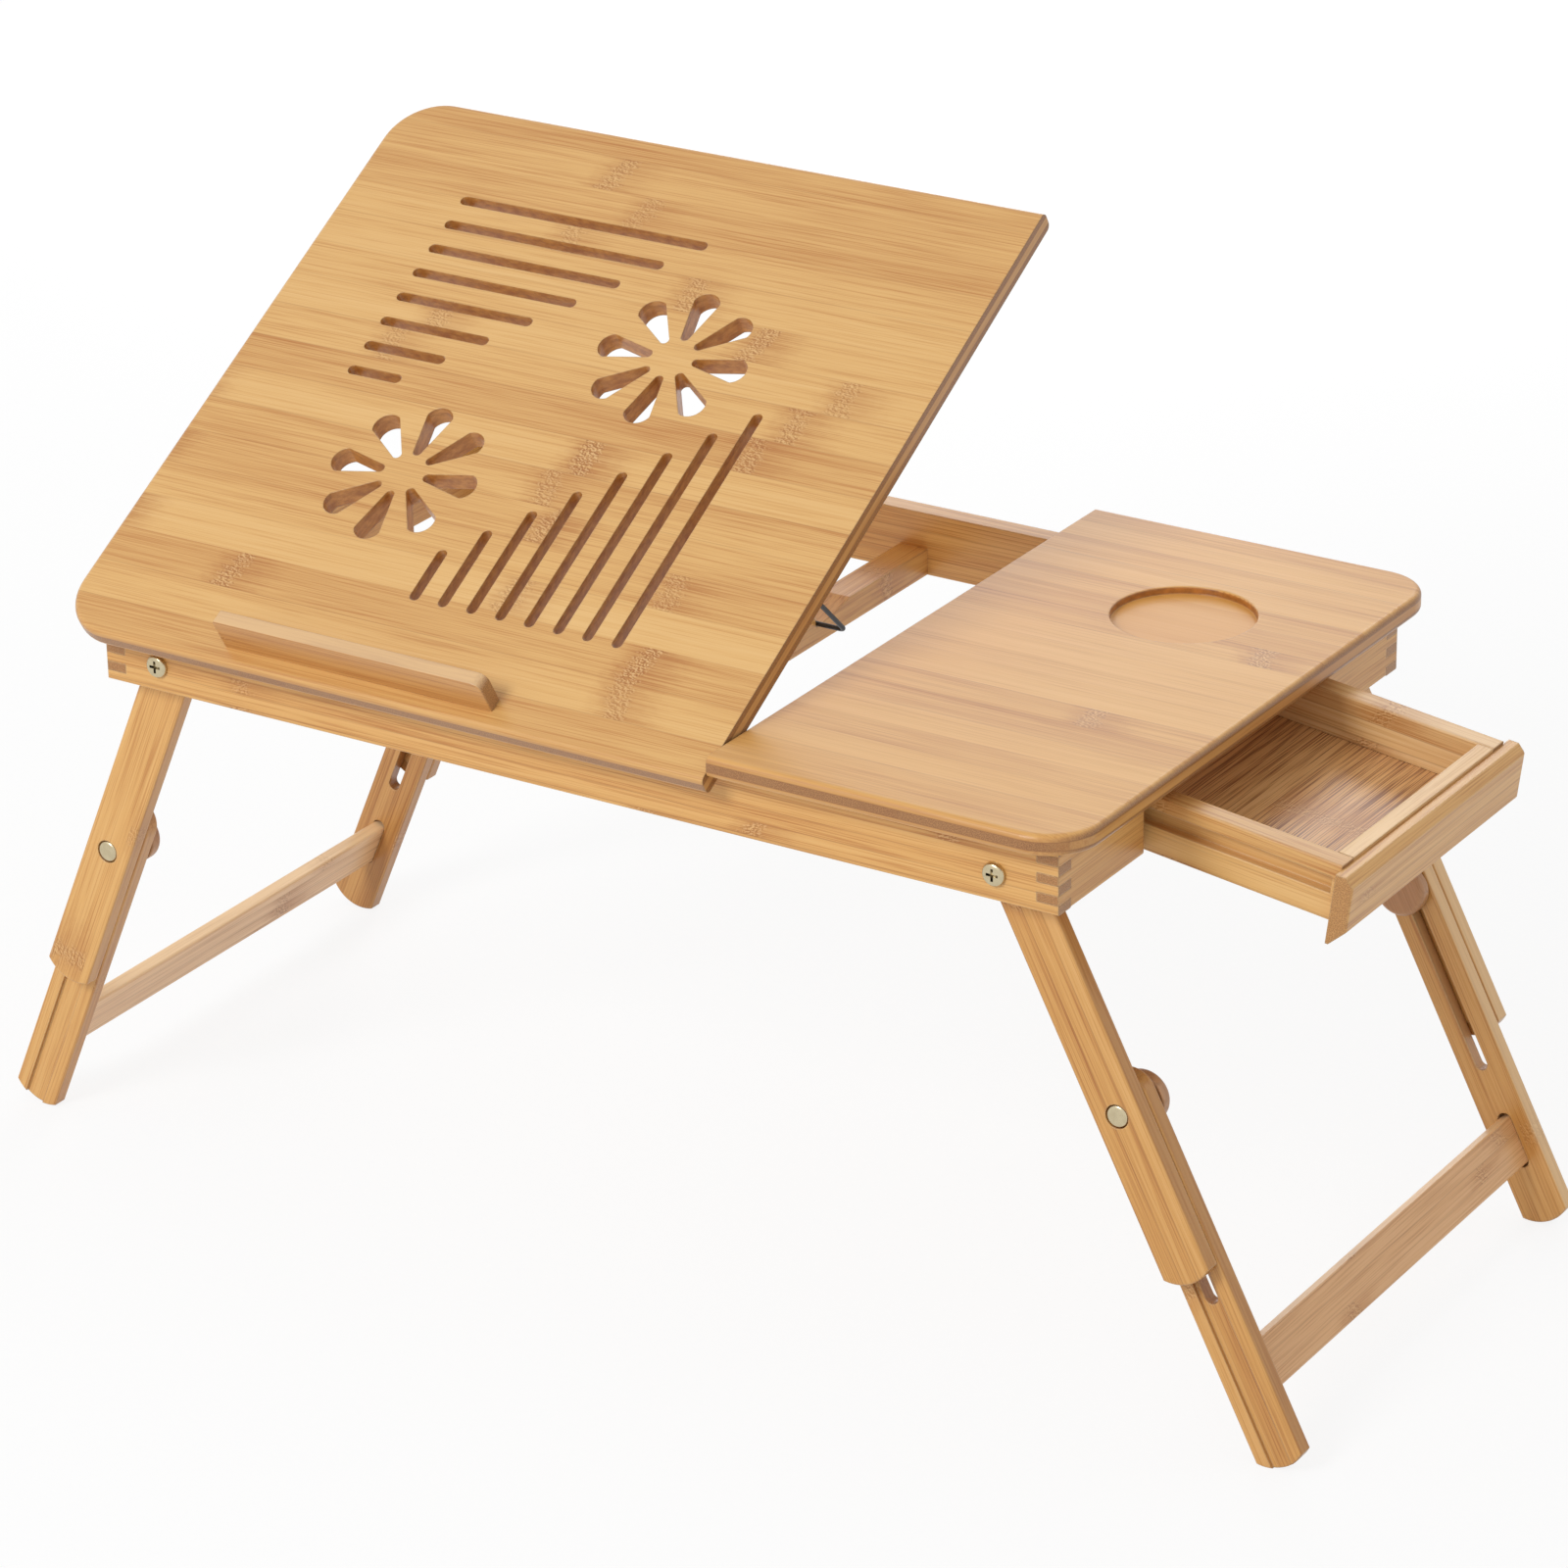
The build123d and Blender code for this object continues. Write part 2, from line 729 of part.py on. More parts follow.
def pivot_nut(x):
    y0 = upper_y + leg_thickness + pivot_washer_gap + pivot_washer_thickness
    y1 = y0 + pivot_nut_thickness
    nut = slab_y(Pos(x, pivot_z) * RegularPolygon(pivot_nut_radius, 6), y0, y1)
    return nut - rod_y(x, pivot_z, y0 - overrun, y1 + overrun, pivot_shank_radius)


def at_all_pivots(maker):
    return group(part for x in pivot_places() for part in (maker(x), mirrored(maker(x))))


# Legs, drawn hanging straight below the origin at the front of the frame
def foot_arc(end):
    half = leg_width / 2
    rise = foot_radius - math.sqrt(foot_radius**2 - half**2) - end
    return rise, ThreePointArc((half, rise), (0, -end), (-half, rise))


def rounded_slab(edges, y0, y1):
    slab = slab_y(make_face(edges), y0, y1)
    outline = []
    for edge in slab.edges():
        y = edge.center().Y
        if min(abs(y - y0), abs(y - y1)) < leg_edge_round:
            outline.append(edge)
    return fillet(outline, leg_edge_round)


def upper_leg():
    half = leg_width / 2
    rise, foot = foot_arc(upper_leg_end)
    head = ThreePointArc((-half, 0), (0, half), (half, 0))
    edges = [head, Line((half, 0), (half, rise)), foot, Line((-half, rise), (-half, 0))]
    end = upper_y + leg_thickness
    leg = rounded_slab(edges, upper_y, end)
    tongue = tongue_width / 2
    low = tongue_end_inset - upper_leg_end
    leg += block(-tongue, tongue, end - overrun, end + tongue_depth, low, -tongue_start)
    leg -= rod_y(0, 0, upper_y - overrun, end + overrun, pivot_shank_radius + pivot_clearance)
    z = -clamp_from_pivot
    leg -= rod_y(0, z, upper_y - overrun, end + tongue_depth + overrun, bolt_shank_radius + bolt_clearance)
    return leg - rod_y(0, z, upper_y - overrun, upper_y + bolt_sink_depth, bolt_sink_radius)


def lower_leg(splay):
    half = leg_width / 2
    end = foot_end(splay)
    top = lower_leg_length - end
    rise, foot = foot_arc(end)
    head = ThreePointArc((-half, top - half), (0, top), (half, top - half))
    edges = [head, Line((half, top - half), (half, rise)), foot, Line((-half, rise), (-half, top - half))]
    leg = rounded_slab(edges, lower_y, leg_inner_y)
    channel = channel_width / 2
    leg -= block(-channel, channel, lower_y - overrun, lower_y + channel_depth, -end - overrun, top + overrun)
    length = leg_slot_high - leg_slot_low + leg_slot_width
    z = (leg_slot_high + leg_slot_low) / 2 - end
    slot = Pos(0, z) * SlotOverall(length, leg_slot_width, rotation=90)
    leg -= slab_y(slot, lower_y - overrun, leg_inner_y + overrun)
    mortise = Pos(0, stretcher_from_foot - end) * SlotOverall(mortise_length, mortise_width, rotation=90)
    return leg - slab_y(mortise, leg_inner_y - mortise_depth, leg_inner_y + overrun)


def stretcher(splay, side):
    y0 = leg_inner_y - mortise_depth + mortise_clearance
    z = stretcher_from_foot - foot_end(splay)
    section = Pos(0, z) * RectangleRounded(stretcher_thickness, stretcher_width, stretcher_round)
    return splayed(slab_y(section, y0, top_depth - y0), splay, side)


def clamp_bolt():
    z = -clamp_from_pivot
    y0 = upper_y + bolt_sink_depth - bolt_head_height
    head = rod_y(0, z, y0, y0 + bolt_head_height, bolt_head_radius)
    head = fillet(head.edges().group_by(Axis.Y)[0], bolt_head_round)
    end = knob_y + insert_length - bolt_end_inset
    return head + rod_y(0, z, y0 + bolt_head_height, end, bolt_shank_radius)


def clamp_washer():
    z = -clamp_from_pivot
    ring = rod_y(0, z, washer_y, washer_y + washer_thickness, washer_radius)
    bore = bolt_shank_radius + screw_clearance
    return ring - rod_y(0, z, washer_y - overrun, washer_y + washer_thickness + overrun, bore)


def clamp_knob():
    """Round knob with a closed, well rounded outer face."""
    z = -clamp_from_pivot
    knob = rod_y(0, z, knob_y, knob_y + knob_thickness, knob_radius)
    rims = knob.edges().filter_by(GeomType.CIRCLE).group_by(Axis.Y)
    knob = fillet(rims[-1], knob_round)
    rims = knob.edges().filter_by(GeomType.CIRCLE).group_by(Axis.Y)
    knob = fillet(rims[0], knob_back_round)
    bore = insert_radius + insert_clearance
    return knob - rod_y(0, z, knob_y - overrun, knob_y + insert_length, bore)


def knob_insert():
    z = -clamp_from_pivot
    ring = rod_y(0, z, knob_y, knob_y + insert_length, insert_radius)
    bore = bolt_shank_radius + bolt_clearance
    return ring - rod_y(0, z, knob_y - overrun, knob_y + insert_length + overrun, bore)


# Drawer
def guide_front():
    """Board under the fixed top that carries the runner strip."""
    x1 = frame_right - rail_thickness
    y0 = opening_front - rail_thickness
    return block(guide_rear_inset, x1, y0, opening_front, frame_bottom + guide_bottom_raise, top_under)


def runner_strips():
    x1 = pin_x - pin_radius - runner_pin_gap
    y1 = box_front + runner_reach
    strip = block(runner_rear_inset, x1, opening_front, y1, pin_z - pin_radius, pin_z + pin_radius)
    stub_x = frame_right - rail_thickness
    strip -= block(stub_x, x1 + overrun, opening_front - overrun, opening_front, frame_bottom, top_under)
    return both(strip)


def runner_pins():
    y0 = opening_front - pin_seat + pin_clearance
    return both(rod_y(pin_x, pin_z, y0, box_front + pin_reach, pin_radius))


def bottom_groove():
    """Room in the walls for the edge of the drawer's bottom."""
    low = frame_bottom + bottom_raise - bottom_clearance
    reach = bottom_tongue + bottom_clearance
    y0 = box_front + side_thickness - reach
    return block(
        box_rear + wall_thickness - reach,
        box_x - wall_thickness + reach,
        y0,
        top_depth - y0,
        low,
        low + bottom_thickness + bottom_clearance * 2,
    )


def drawer_side():
    side = block(box_rear, box_x, box_front, box_front + side_thickness, frame_bottom, box_top)
    top_edges = side.edges().filter_by(Axis.X).group_by(Axis.Z)[-1]
    side = fillet(top_edges, drawer_edge_round)
    groove_end = pin_x + pin_radius + groove_end_clearance
    groove = block(
        box_rear - overrun,
        groove_end,
        box_front - overrun,
        box_front + groove_depth,
        groove_top - groove_height,
        groove_top,
    )
    return side - groove - bottom_groove()


def drawer_wall(x0):
    y0 = box_front + side_thickness
    wall = block(x0, x0 + wall_thickness, y0, top_depth - y0, frame_bottom, box_top)
    rims = wall.edges().filter_by(Axis.Y).group_by(Axis.Z)[-1]
    free_rims = [e for e in rims if e.center().X < box_x - drawer_edge_round]
    wall = fillet(free_rims, drawer_edge_round)
    return wall - bottom_groove()


def drawer_screw_places():
    z = (frame_bottom + bottom_raise + bottom_thickness + box_top) / 2
    return [(mid_y + side * drawer_screw_spacing / 2, z) for side in (-1, 1)]


def drawer_front_wall():
    wall = drawer_wall(box_x - wall_thickness)
    for y, z in drawer_screw_places():
        x0 = box_x - wall_thickness - overrun
        wall -= rod_x(y, z, x0, box_x + overrun, drawer_screw_radius + screw_clearance)
    return opened(wall)


def drawer_back_wall():
    return opened(drawer_wall(box_rear))


def drawer_bottom():
    low = frame_bottom + bottom_raise
    y0 = box_front + side_thickness - bottom_tongue
    x0 = box_rear + wall_thickness - bottom_tongue
    x1 = box_x - wall_thickness + bottom_tongue
    return opened(block(x0, x1, y0, top_depth - y0, low, low + bottom_thickness))


def drawer_front_panel():
    """Front with a chamfered top and a bevelled lip below that serves as the grip."""
    high = box_top - panel_top_drop
    low = frame_bottom - panel_lip
    outer = box_x + panel_thickness
    points = Polyline(
        (box_x, low),
        (box_x, high),
        (outer - panel_top_chamfer, high),
        (outer, high - panel_top_chamfer),
        (outer, frame_bottom),
        (box_x + panel_tip, low),
        close=True,
    )
    y0 = mid_y - panel_width / 2
    panel = slab_y(make_face(points), y0, mid_y + panel_width / 2)
    ends = [e for e in panel.faces().filter_by(Axis.X).sort_by(Axis.X)[-1].edges().filter_by(Axis.Z)]
    panel = fillet(ends, panel_end_round)
    length = drawer_screw_length - wall_thickness
    for y, z in drawer_screw_places():
        end = box_x + length + screw_clearance
        panel -= rod_x(y, z, box_x - overrun, end, drawer_screw_radius + screw_clearance)
    return opened(panel)


def drawer_screws():
    screws = []
    x0 = box_x - wall_thickness
    for y, z in drawer_screw_places():
        head = rod_x(y, z, x0 - drawer_screw_head_height, x0, drawer_screw_head_radius)
        screws.append(head + rod_x(y, z, x0, x0 + drawer_screw_length, drawer_screw_radius))
    return opened(group(screws))


# All nodes by name
def leg_nodes(name, splay, side):
    """Pieces of one end: the front leg, its mirrored back leg and the bar between them."""
    upper = splayed(upper_leg(), splay, side)
    lower = splayed(lower_leg(splay), splay, side)
    knob = splayed(clamp_knob(), splay, side)
    insert = splayed(knob_insert(), splay, side)
    return {
        name + "_front_upper_leg": upper,
        name + "_back_upper_leg": mirrored(upper),
        name + "_front_lower_leg": lower,
        name + "_back_lower_leg": mirrored(lower),
        name + "_stretcher": stretcher(splay, side),
        name + "_clamp_bolts": both(splayed(clamp_bolt(), splay, side)),
        name + "_clamp_washers": both(splayed(clamp_washer(), splay, side)),
        name + "_front_knob": knob,
        name + "_back_knob": mirrored(knob),
        name + "_front_knob_insert": insert,
        name + "_back_knob_insert": mirrored(insert),
    }


def all_nodes():
    side = drawer_side()
    nodes = {
        "front_rail": front_rail(),
        "back_rail": back_rail(),
        "left_rail": left_rail(),
        "right_rail_front": right_rail_front(),
        "right_rail_back": right_rail_back(),
        "cross_rail": cross_rail(),
        "cross_rail_dowels": cross_rail_dowels(),
        "fixed_top": fixed_top(),
        "drawer_guide_front": guide_front(),
        "drawer_guide_back": mirrored(guide_front()),
        "drawer_runner_strips": runner_strips(),
        "drawer_runner_pins": runner_pins(),
        "leg_pivot_screws": at_all_pivots(pivot_screw),
        "leg_pivot_washers": at_all_pivots(pivot_washer),
        "leg_pivot_nuts": at_all_pivots(pivot_nut),
        "hinge_frame_leaves": hinge_frame_leaves(),
        "hinge_frame_screws": hinge_frame_screws(),
        "hinge_pins": hinge_pins(),
        "tilting_top": tilting_top(),
        "stop_ledge": stop_ledge(),
        "stop_ledge_dowels": ledge_dowels(),
        "hinge_top_leaves": hinge_top_leaves(),
        "hinge_top_screws": hinge_top_screws(),
        "bail_saddles": bail_saddles(),
        "bail_saddle_screws": bail_saddle_screws(),
        "prop_bail": prop_bail(),
        "drawer_front_panel": drawer_front_panel(),
        "drawer_front_wall": drawer_front_wall(),
        "drawer_back_wall": drawer_back_wall(),
        "drawer_side_front": opened(side),
        "drawer_side_back": opened(mirrored(side)),
        "drawer_bottom": drawer_bottom(),
        "drawer_screws": drawer_screws(),
    }
    nodes.update(leg_nodes("left", left_splay_angle, -1))
    nodes.update(leg_nodes("right", right_splay_angle, 1))
    return nodes


nodes = all_nodes()

# The origin is moved to the middle of the whole table, on the floor
low = [min(tuple(part.bounding_box().min)[i] for part in nodes.values()) for i in range(3)]
high = [max(tuple(part.bounding_box().max)[i] for part in nodes.values()) for i in range(3)]
shift = (-(low[0] + high[0]) / 2, -(low[1] + high[1]) / 2, -low[2])

for name, part in nodes.items():
    export_step(Compound(children=[Pos(*shift) * solid for solid in part.solids()]), f"parts/{name}.step")
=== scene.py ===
"""Looks of a folding bamboo laptop table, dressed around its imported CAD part."""

import functools
import math
from types import SimpleNamespace

import bpy
import numpy as np
from mathutils import Matrix, Vector


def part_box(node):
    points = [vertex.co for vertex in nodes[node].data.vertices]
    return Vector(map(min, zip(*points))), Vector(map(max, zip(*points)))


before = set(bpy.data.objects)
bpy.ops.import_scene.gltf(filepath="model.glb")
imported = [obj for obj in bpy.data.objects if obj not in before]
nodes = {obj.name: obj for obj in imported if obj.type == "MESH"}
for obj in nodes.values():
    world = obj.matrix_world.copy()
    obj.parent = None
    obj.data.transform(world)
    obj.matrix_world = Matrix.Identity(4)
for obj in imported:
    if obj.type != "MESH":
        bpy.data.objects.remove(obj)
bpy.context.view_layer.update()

MM = 0.001
X, Y, Z = Vector((1, 0, 0)), Vector((0, 1, 0)), Vector((0, 0, 1))

# The table's own landmark: the seam between the tops at the front edge, on the fixed top's face
TOP_LOW, TOP_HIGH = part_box("fixed_top")
SEAM = Vector((TOP_LOW.x, TOP_LOW.y, TOP_HIGH.z))

# Slopes at rest, in degrees, as the CAD part has them
BOARD_TILT = 30.4
DRAWER_DROOP = 7.6
LEFT_SPLAY = 23.2
RIGHT_SPLAY = 26.9
tilt = Matrix.Rotation(math.radians(BOARD_TILT), 3, "X")
droop = Matrix.Rotation(math.radians(DRAWER_DROOP), 3, "Y")
left_lean = Matrix.Rotation(math.radians(LEFT_SPLAY), 3, "Y")
right_lean = Matrix.Rotation(math.radians(-RIGHT_SPLAY), 3, "Y")


def linear(colour):
    """An sRGB hex colour such as "#DDB277" as linear red, green, blue and alpha."""
    channels = np.array([int(colour[k : k + 2], 16) for k in (1, 3, 5)]) / 255
    low = channels / 12.92
    high = ((channels + 0.055) / 1.055) ** 2.4
    return (*np.where(channels <= 0.04045, low, high), 1.0)


def add(tree, kind, inputs=(), **settings):
    """Adds a shader node with its settings. Inputs, in order or by name or number, are set or linked."""
    node = tree.nodes.new("ShaderNode" + kind)
    for name, value in settings.items():
        setattr(node, name, value)
    for socket, value in inputs.items() if isinstance(inputs, dict) else enumerate(inputs):
        if isinstance(value, bpy.types.Node):
            value = next(output for output in value.outputs if output.enabled)
        if isinstance(value, bpy.types.NodeSocket):
            tree.links.new(value, node.inputs[socket])
        else:
            node.inputs[socket].default_value = value
    return node


def new_material(name):
    """An empty node material, with a function that adds nodes to it."""
    material = bpy.data.materials.new(name)
    material.use_nodes = True
    material.node_tree.nodes.clear()
    return material, functools.partial(add, material.node_tree)


def dress(material, *names):
    """Gives a material to CAD nodes, in every slot that they have."""
    for name in names:
        slots = nodes[name].data.materials
        slots.clear()
        slots.append(material)


def span(name, direction):
    """Lowest and highest reach of a CAD node along a direction, in millimetres."""
    mesh = nodes[name].data
    points = np.empty(len(mesh.vertices) * 3)
    mesh.vertices.foreach_get("co", points)
    reach = points.reshape(-1, 3) @ np.array(direction) / MM
    return float(reach.min()), float(reach.max())


# Bamboo: strips split from the cane, glued side by side, sanded and lacquered. The eye sees long straight
# fibres, strips that differ a little in tone, and across some strips the mottled ridge of a knuckle, where
# the cane had a joint, in a browner stretch. Sawn ends show the fibres as dark pores.

# Length, width and depth of each kind of mark in millimetres. The real fibres are finer than a pixel of the
# render, so they are drawn as coarse as they need to show.
FIBRE_MM = (60.0, 0.65, 1.4)
STREAK_MM = (210.0, 2.6, 4.0)
CLOUD_MM = (130.0, 32.0, 30.0)
FLECK_MM = (2.1, 1.1, 1.4)
FLECK_SHADOW_MM = (0.6, 0.4, 0.0)
RAGGED_MM = (5.0, 2.4, 3.0)
CHATTER_MM = (5.0, 5.0, 3.0)
PORE_MM = 0.62
STRIP_SHIFT_MM = (700.0, 0.0, 90.0)
EDGE_MM = 1.1
GLUE_MM = 0.45

# How each noise is built, on points that are already divided by the size of its marks
FIBRE_NOISE = {"Scale": 1.0, "Detail": 2.0, "Roughness": 0.6}
STREAK_NOISE = {"Scale": 1.0, "Detail": 2.5, "Roughness": 0.55}
SOFT_NOISE = {"Scale": 1.0, "Detail": 1.0}
FLECK_NOISE = {"Scale": 1.0, "Detail": 1.0, "Distortion": 0.8}
CHATTER_NOISE = {"Scale": 1.0, "Detail": 3.0, "Roughness": 0.6}

# Steps of tone, where 0 is the deepest and 1 the palest of a piece's tones
FIBRE_BAND, FIBRE_STEPS = (0.45, 0.66), (0.06, -0.28)
SOFT_BAND, STREAK_STEP, CLOUD_STEP = (0.25, 0.75), 0.11, 0.07
STRIP_STEPS = (-0.15, 0.13)
SKIN_BAND, SKIN_STEP = (0.05, 0.5), -0.17

# Knuckles: lengths along the cane in millimetres, then ramps, each with the two ends of what goes in and
# the two ends of what comes out
RIDGE_MM = (2.6, 7.6)
RIDGE_LEAN_MM = 7.0
HAZE_START_MM = (-18.0, -2.0)
HAZE_END_MM = (3.0, 32.0)
RAGGED_REACH = (0.2, 0.8, -3.6, 3.6)
HAZE_ON_FIBRE = (0.35, 0.65, 0.3, 0.95)
FLECK_DARK = (0.0, -0.1, 0.0, 0.72)
FLECK_PALE = (0.01, 0.11, 0.0, 0.42)
WEAKEST_KNUCKLE = 0.45
KNUCKLE_TINTS = {"pale": "#EFCE98", "dark": "#925A28", "haze": "#AA6C33"}

# Sides, whose tint paints shade or light; sawn ends; glue; routed areas, whose walls are partly painted
# shade;
# and edges paled by wear and a painted highlight; with ramps of the same kind
SIDE_TURN = (0.35, 0.75, 1.0, 0.0)
SIDE_LIGHT_SHADE_SHARE = 0.4
END_TURN = (0.45, 0.95, 0.0, 0.85)
PORE_RIM = (0.16, 0.5)
GLUE = "#8C5C32"
GLUE_SHARE = 0.5
MIDDLE_PLY = (0.51, 0.2)
PLY_GLUE = (0.01, 0.045, 0.55, 0.0)
ROUTED_LEVEL = (0.3, 0.26)
ROUTED_FLOOR_SHARE = 0.75
ROUTED_WALL_SHARE = 0.8
CHATTER_BAND = (0.35, 0.65)
EDGE_WEAR_AND_HIGHLIGHT = "#EBCB98"
EDGE_BEND = (0.99, 0.85)

# Lacquer: satin, a little duller on some streaks, over a faint relief of the fibres and the knuckles
LACQUER_GLOSS = (0.3, 0.7, 0.36, 0.28)
FIBRE_RELIEF = 0.25
RELIEF_MM = 0.25
RELIEF_STRENGTH = 0.3

# Tones of the pieces from deep to pale, and the dark and the pale colour of their sawn ends
BOARD_TONES = ("#B3763A", "#D7A968", "#E4BC80")
TOP_TONES = ("#AE6E2E", "#D5A15B", "#E2B26E")
FRAME_TONES = ("#AC6C30", "#D5A25E", "#E3B878")
LEDGE_SHADED_TONES = ("#A4662E", "#C58E50", "#D8A868")
DRAWER_TONES = ("#BF8A52", "#E0B880", "#EDD0A2")
BOTTOM_TONES = ("#85522A", "#D4A167", "#E6BF8C")
RIGHT_LEG_TONES = ("#A2642C", "#CB9652", "#DEB074")
LEFT_BACK_LEG_SHADED_TONES = ("#965C2A", "#BF8C50", "#CFA265")
LEFT_STRETCHER_TONES = ("#C8986A", "#E8C194", "#F2D2A8")
RIGHT_STRETCHER_TONES = ("#BA8450", "#DAA874", "#EAC296")
KNOB_TONES = ("#94643C", "#B4845A", "#C99C70")
BOARD_ENDS = ("#6E4626", "#9C6C42")
FRAME_ENDS = ("#7C5028", "#A9784A")
PANEL_ENDS = ("#885830", "#B6864F")

# Tints of sides, which paint shade where darker and light where paler, and the colours in the vents and the
# cup recess, whose walls are partly scorched by the cutter and partly painted shade
BOARD_SIDE_TONE_AND_SHADE = "#B07C4A"
FRAME_SHADED_SIDES = "#A0642C"
RIGHT_BACK_LIT_SIDES = "#F4D6A8"
LIT_SIDES = "#F6DDB0"
VENT_WALL = ("#AA6A2E", "#CE9248")
CUP_WALL = ("#7A4216", "#B06C2C")
CUP_FLOOR = "#D69B4E"


def per_mm(sizes):
    """Noise scale that gives marks of these sizes in millimetres."""
    return Vector([1 / size for size in sizes])


def lay_of_cane(put, grain, face, plies):
    """Where a point lies along, across and into the cane, in millimetres, and which way its surface looks.

    The lengths are dot products of the point with three square axes. Where plies are given, the middle one
    lies crosswise: along and across change places there.
    """
    across = Vector(face).cross(grain).normalized()
    depth = grain.cross(across)
    place = put("TexCoord")
    normal = place.outputs["Normal"]
    along_mm, across_mm, depth_mm = (
        put("VectorMath", [place.outputs["Object"], axis / MM], operation="DOT_PRODUCT").outputs[1]
        for axis in (grain, across, depth)
    )
    facing = put("VectorMath", [normal, depth], operation="DOT_PRODUCT").outputs[1]
    facing = put("Math", [facing], operation="ABSOLUTE")
    upright = put("MapRange", [facing, *SIDE_TURN])
    own = put("CombineXYZ", [along_mm, across_mm, depth_mm])
    fibre_axis, level = grain, None
    if plies:
        surface, thickness = plies
        level = put("Math", [surface, depth_mm], operation="SUBTRACT")
        level = put("Math", [level, thickness], operation="DIVIDE")
        middle = put("Math", [level, *MIDDLE_PLY], operation="COMPARE")
        middle = put("Math", [middle, upright], operation="MULTIPLY")
        turned = put("CombineXYZ", [across_mm, along_mm, depth_mm])
        own = put("Mix", {0: middle, 4: own, 5: turned}, data_type="VECTOR").outputs[1]
        fibre_axis = put("Mix", {0: middle, 4: grain, 5: across}, data_type="VECTOR").outputs[1]
    return SimpleNamespace(
        own=own,
        parts=put("SeparateXYZ", [own]).outputs,
        along=along_mm,
        across=across_mm,
        normal=normal,
        upright=upright,
        fibre_axis=fibre_axis,
        level=level,
    )


def split_strips(put, lay, strip, start, seed):
    """Numbers the strips that lie side by side, and takes three random draws for each.

    The draws shift a strip's pattern, so that no two strips are alike, and set its tone and its knuckles.
    """
    strips = put("Math", [lay.parts[1], 1 / strip, -start / strip], operation="MULTIPLY_ADD")
    number = put("Math", [strips], operation="FLOOR")
    within = put("Math", [strips], operation="FRACT")
    within = put("Math", [within, 0.5], operation="SUBTRACT")
    chance = put("TexWhiteNoise", {"Vector": put("CombineXYZ", [number, seed])}, noise_dimensions="2D")
    draws = chance.outputs["Color"]
    return SimpleNamespace(
        number=number,
        within=within,
        draws=put("SeparateColor", [draws]).outputs,
        shifted=put("VectorMath", [draws, STRIP_SHIFT_MM, lay.own], operation="MULTIPLY_ADD"),
    )


def cane_tone(put, lay, strips, tones, streak, lines):
    """Colour of the cane, from lines, streaks, clouds and a step per strip, and its two finer noises."""
    scaled = put("VectorMath", [strips.shifted, per_mm(FIBRE_MM)], operation="MULTIPLY")
    fibre = put("TexNoise", {"Vector": scaled, **FIBRE_NOISE}).outputs[0]
    scaled = put("VectorMath", [strips.shifted, per_mm(STREAK_MM)], operation="MULTIPLY")
    streaks = put("TexNoise", {"Vector": scaled, **STREAK_NOISE}).outputs[0]
    scaled = put("VectorMath", [lay.own, per_mm(CLOUD_MM)], operation="MULTIPLY")
    clouds = put("TexNoise", {"Vector": scaled, **SOFT_NOISE}).outputs[0]

    tone = put("MapRange", [strips.draws[2], 0.0, 1.0, *(0.5 + step * streak for step in STRIP_STEPS)])
    thin = put("MapRange", [fibre, *FIBRE_BAND, *(step * lines for step in FIBRE_STEPS)])
    tone = put("Math", [thin, tone], operation="ADD")
    for noise, step in ((streaks, STREAK_STEP * streak), (clouds, CLOUD_STEP * streak)):
        soft = put("MapRange", [noise, *SOFT_BAND, -step, step])
        tone = put("Math", [tone, soft], operation="ADD")
    # One edge of a strip, nearer the cane's skin, is browner
    skin = put("MapRange", [strips.within, *SKIN_BAND, 0.0, SKIN_STEP * streak])
    tone = put("Math", [skin, strips.draws[1], tone], operation="MULTIPLY_ADD")

    deep, usual, pale = (linear(tone_colour) for tone_colour in tones)
    ramp = put("ValToRGB", [tone])
    stops = ramp.color_ramp.elements
    stops[0].color, stops[1].color = deep, pale
    stops.new(0.5).color = usual
    return ramp, fibre, streaks


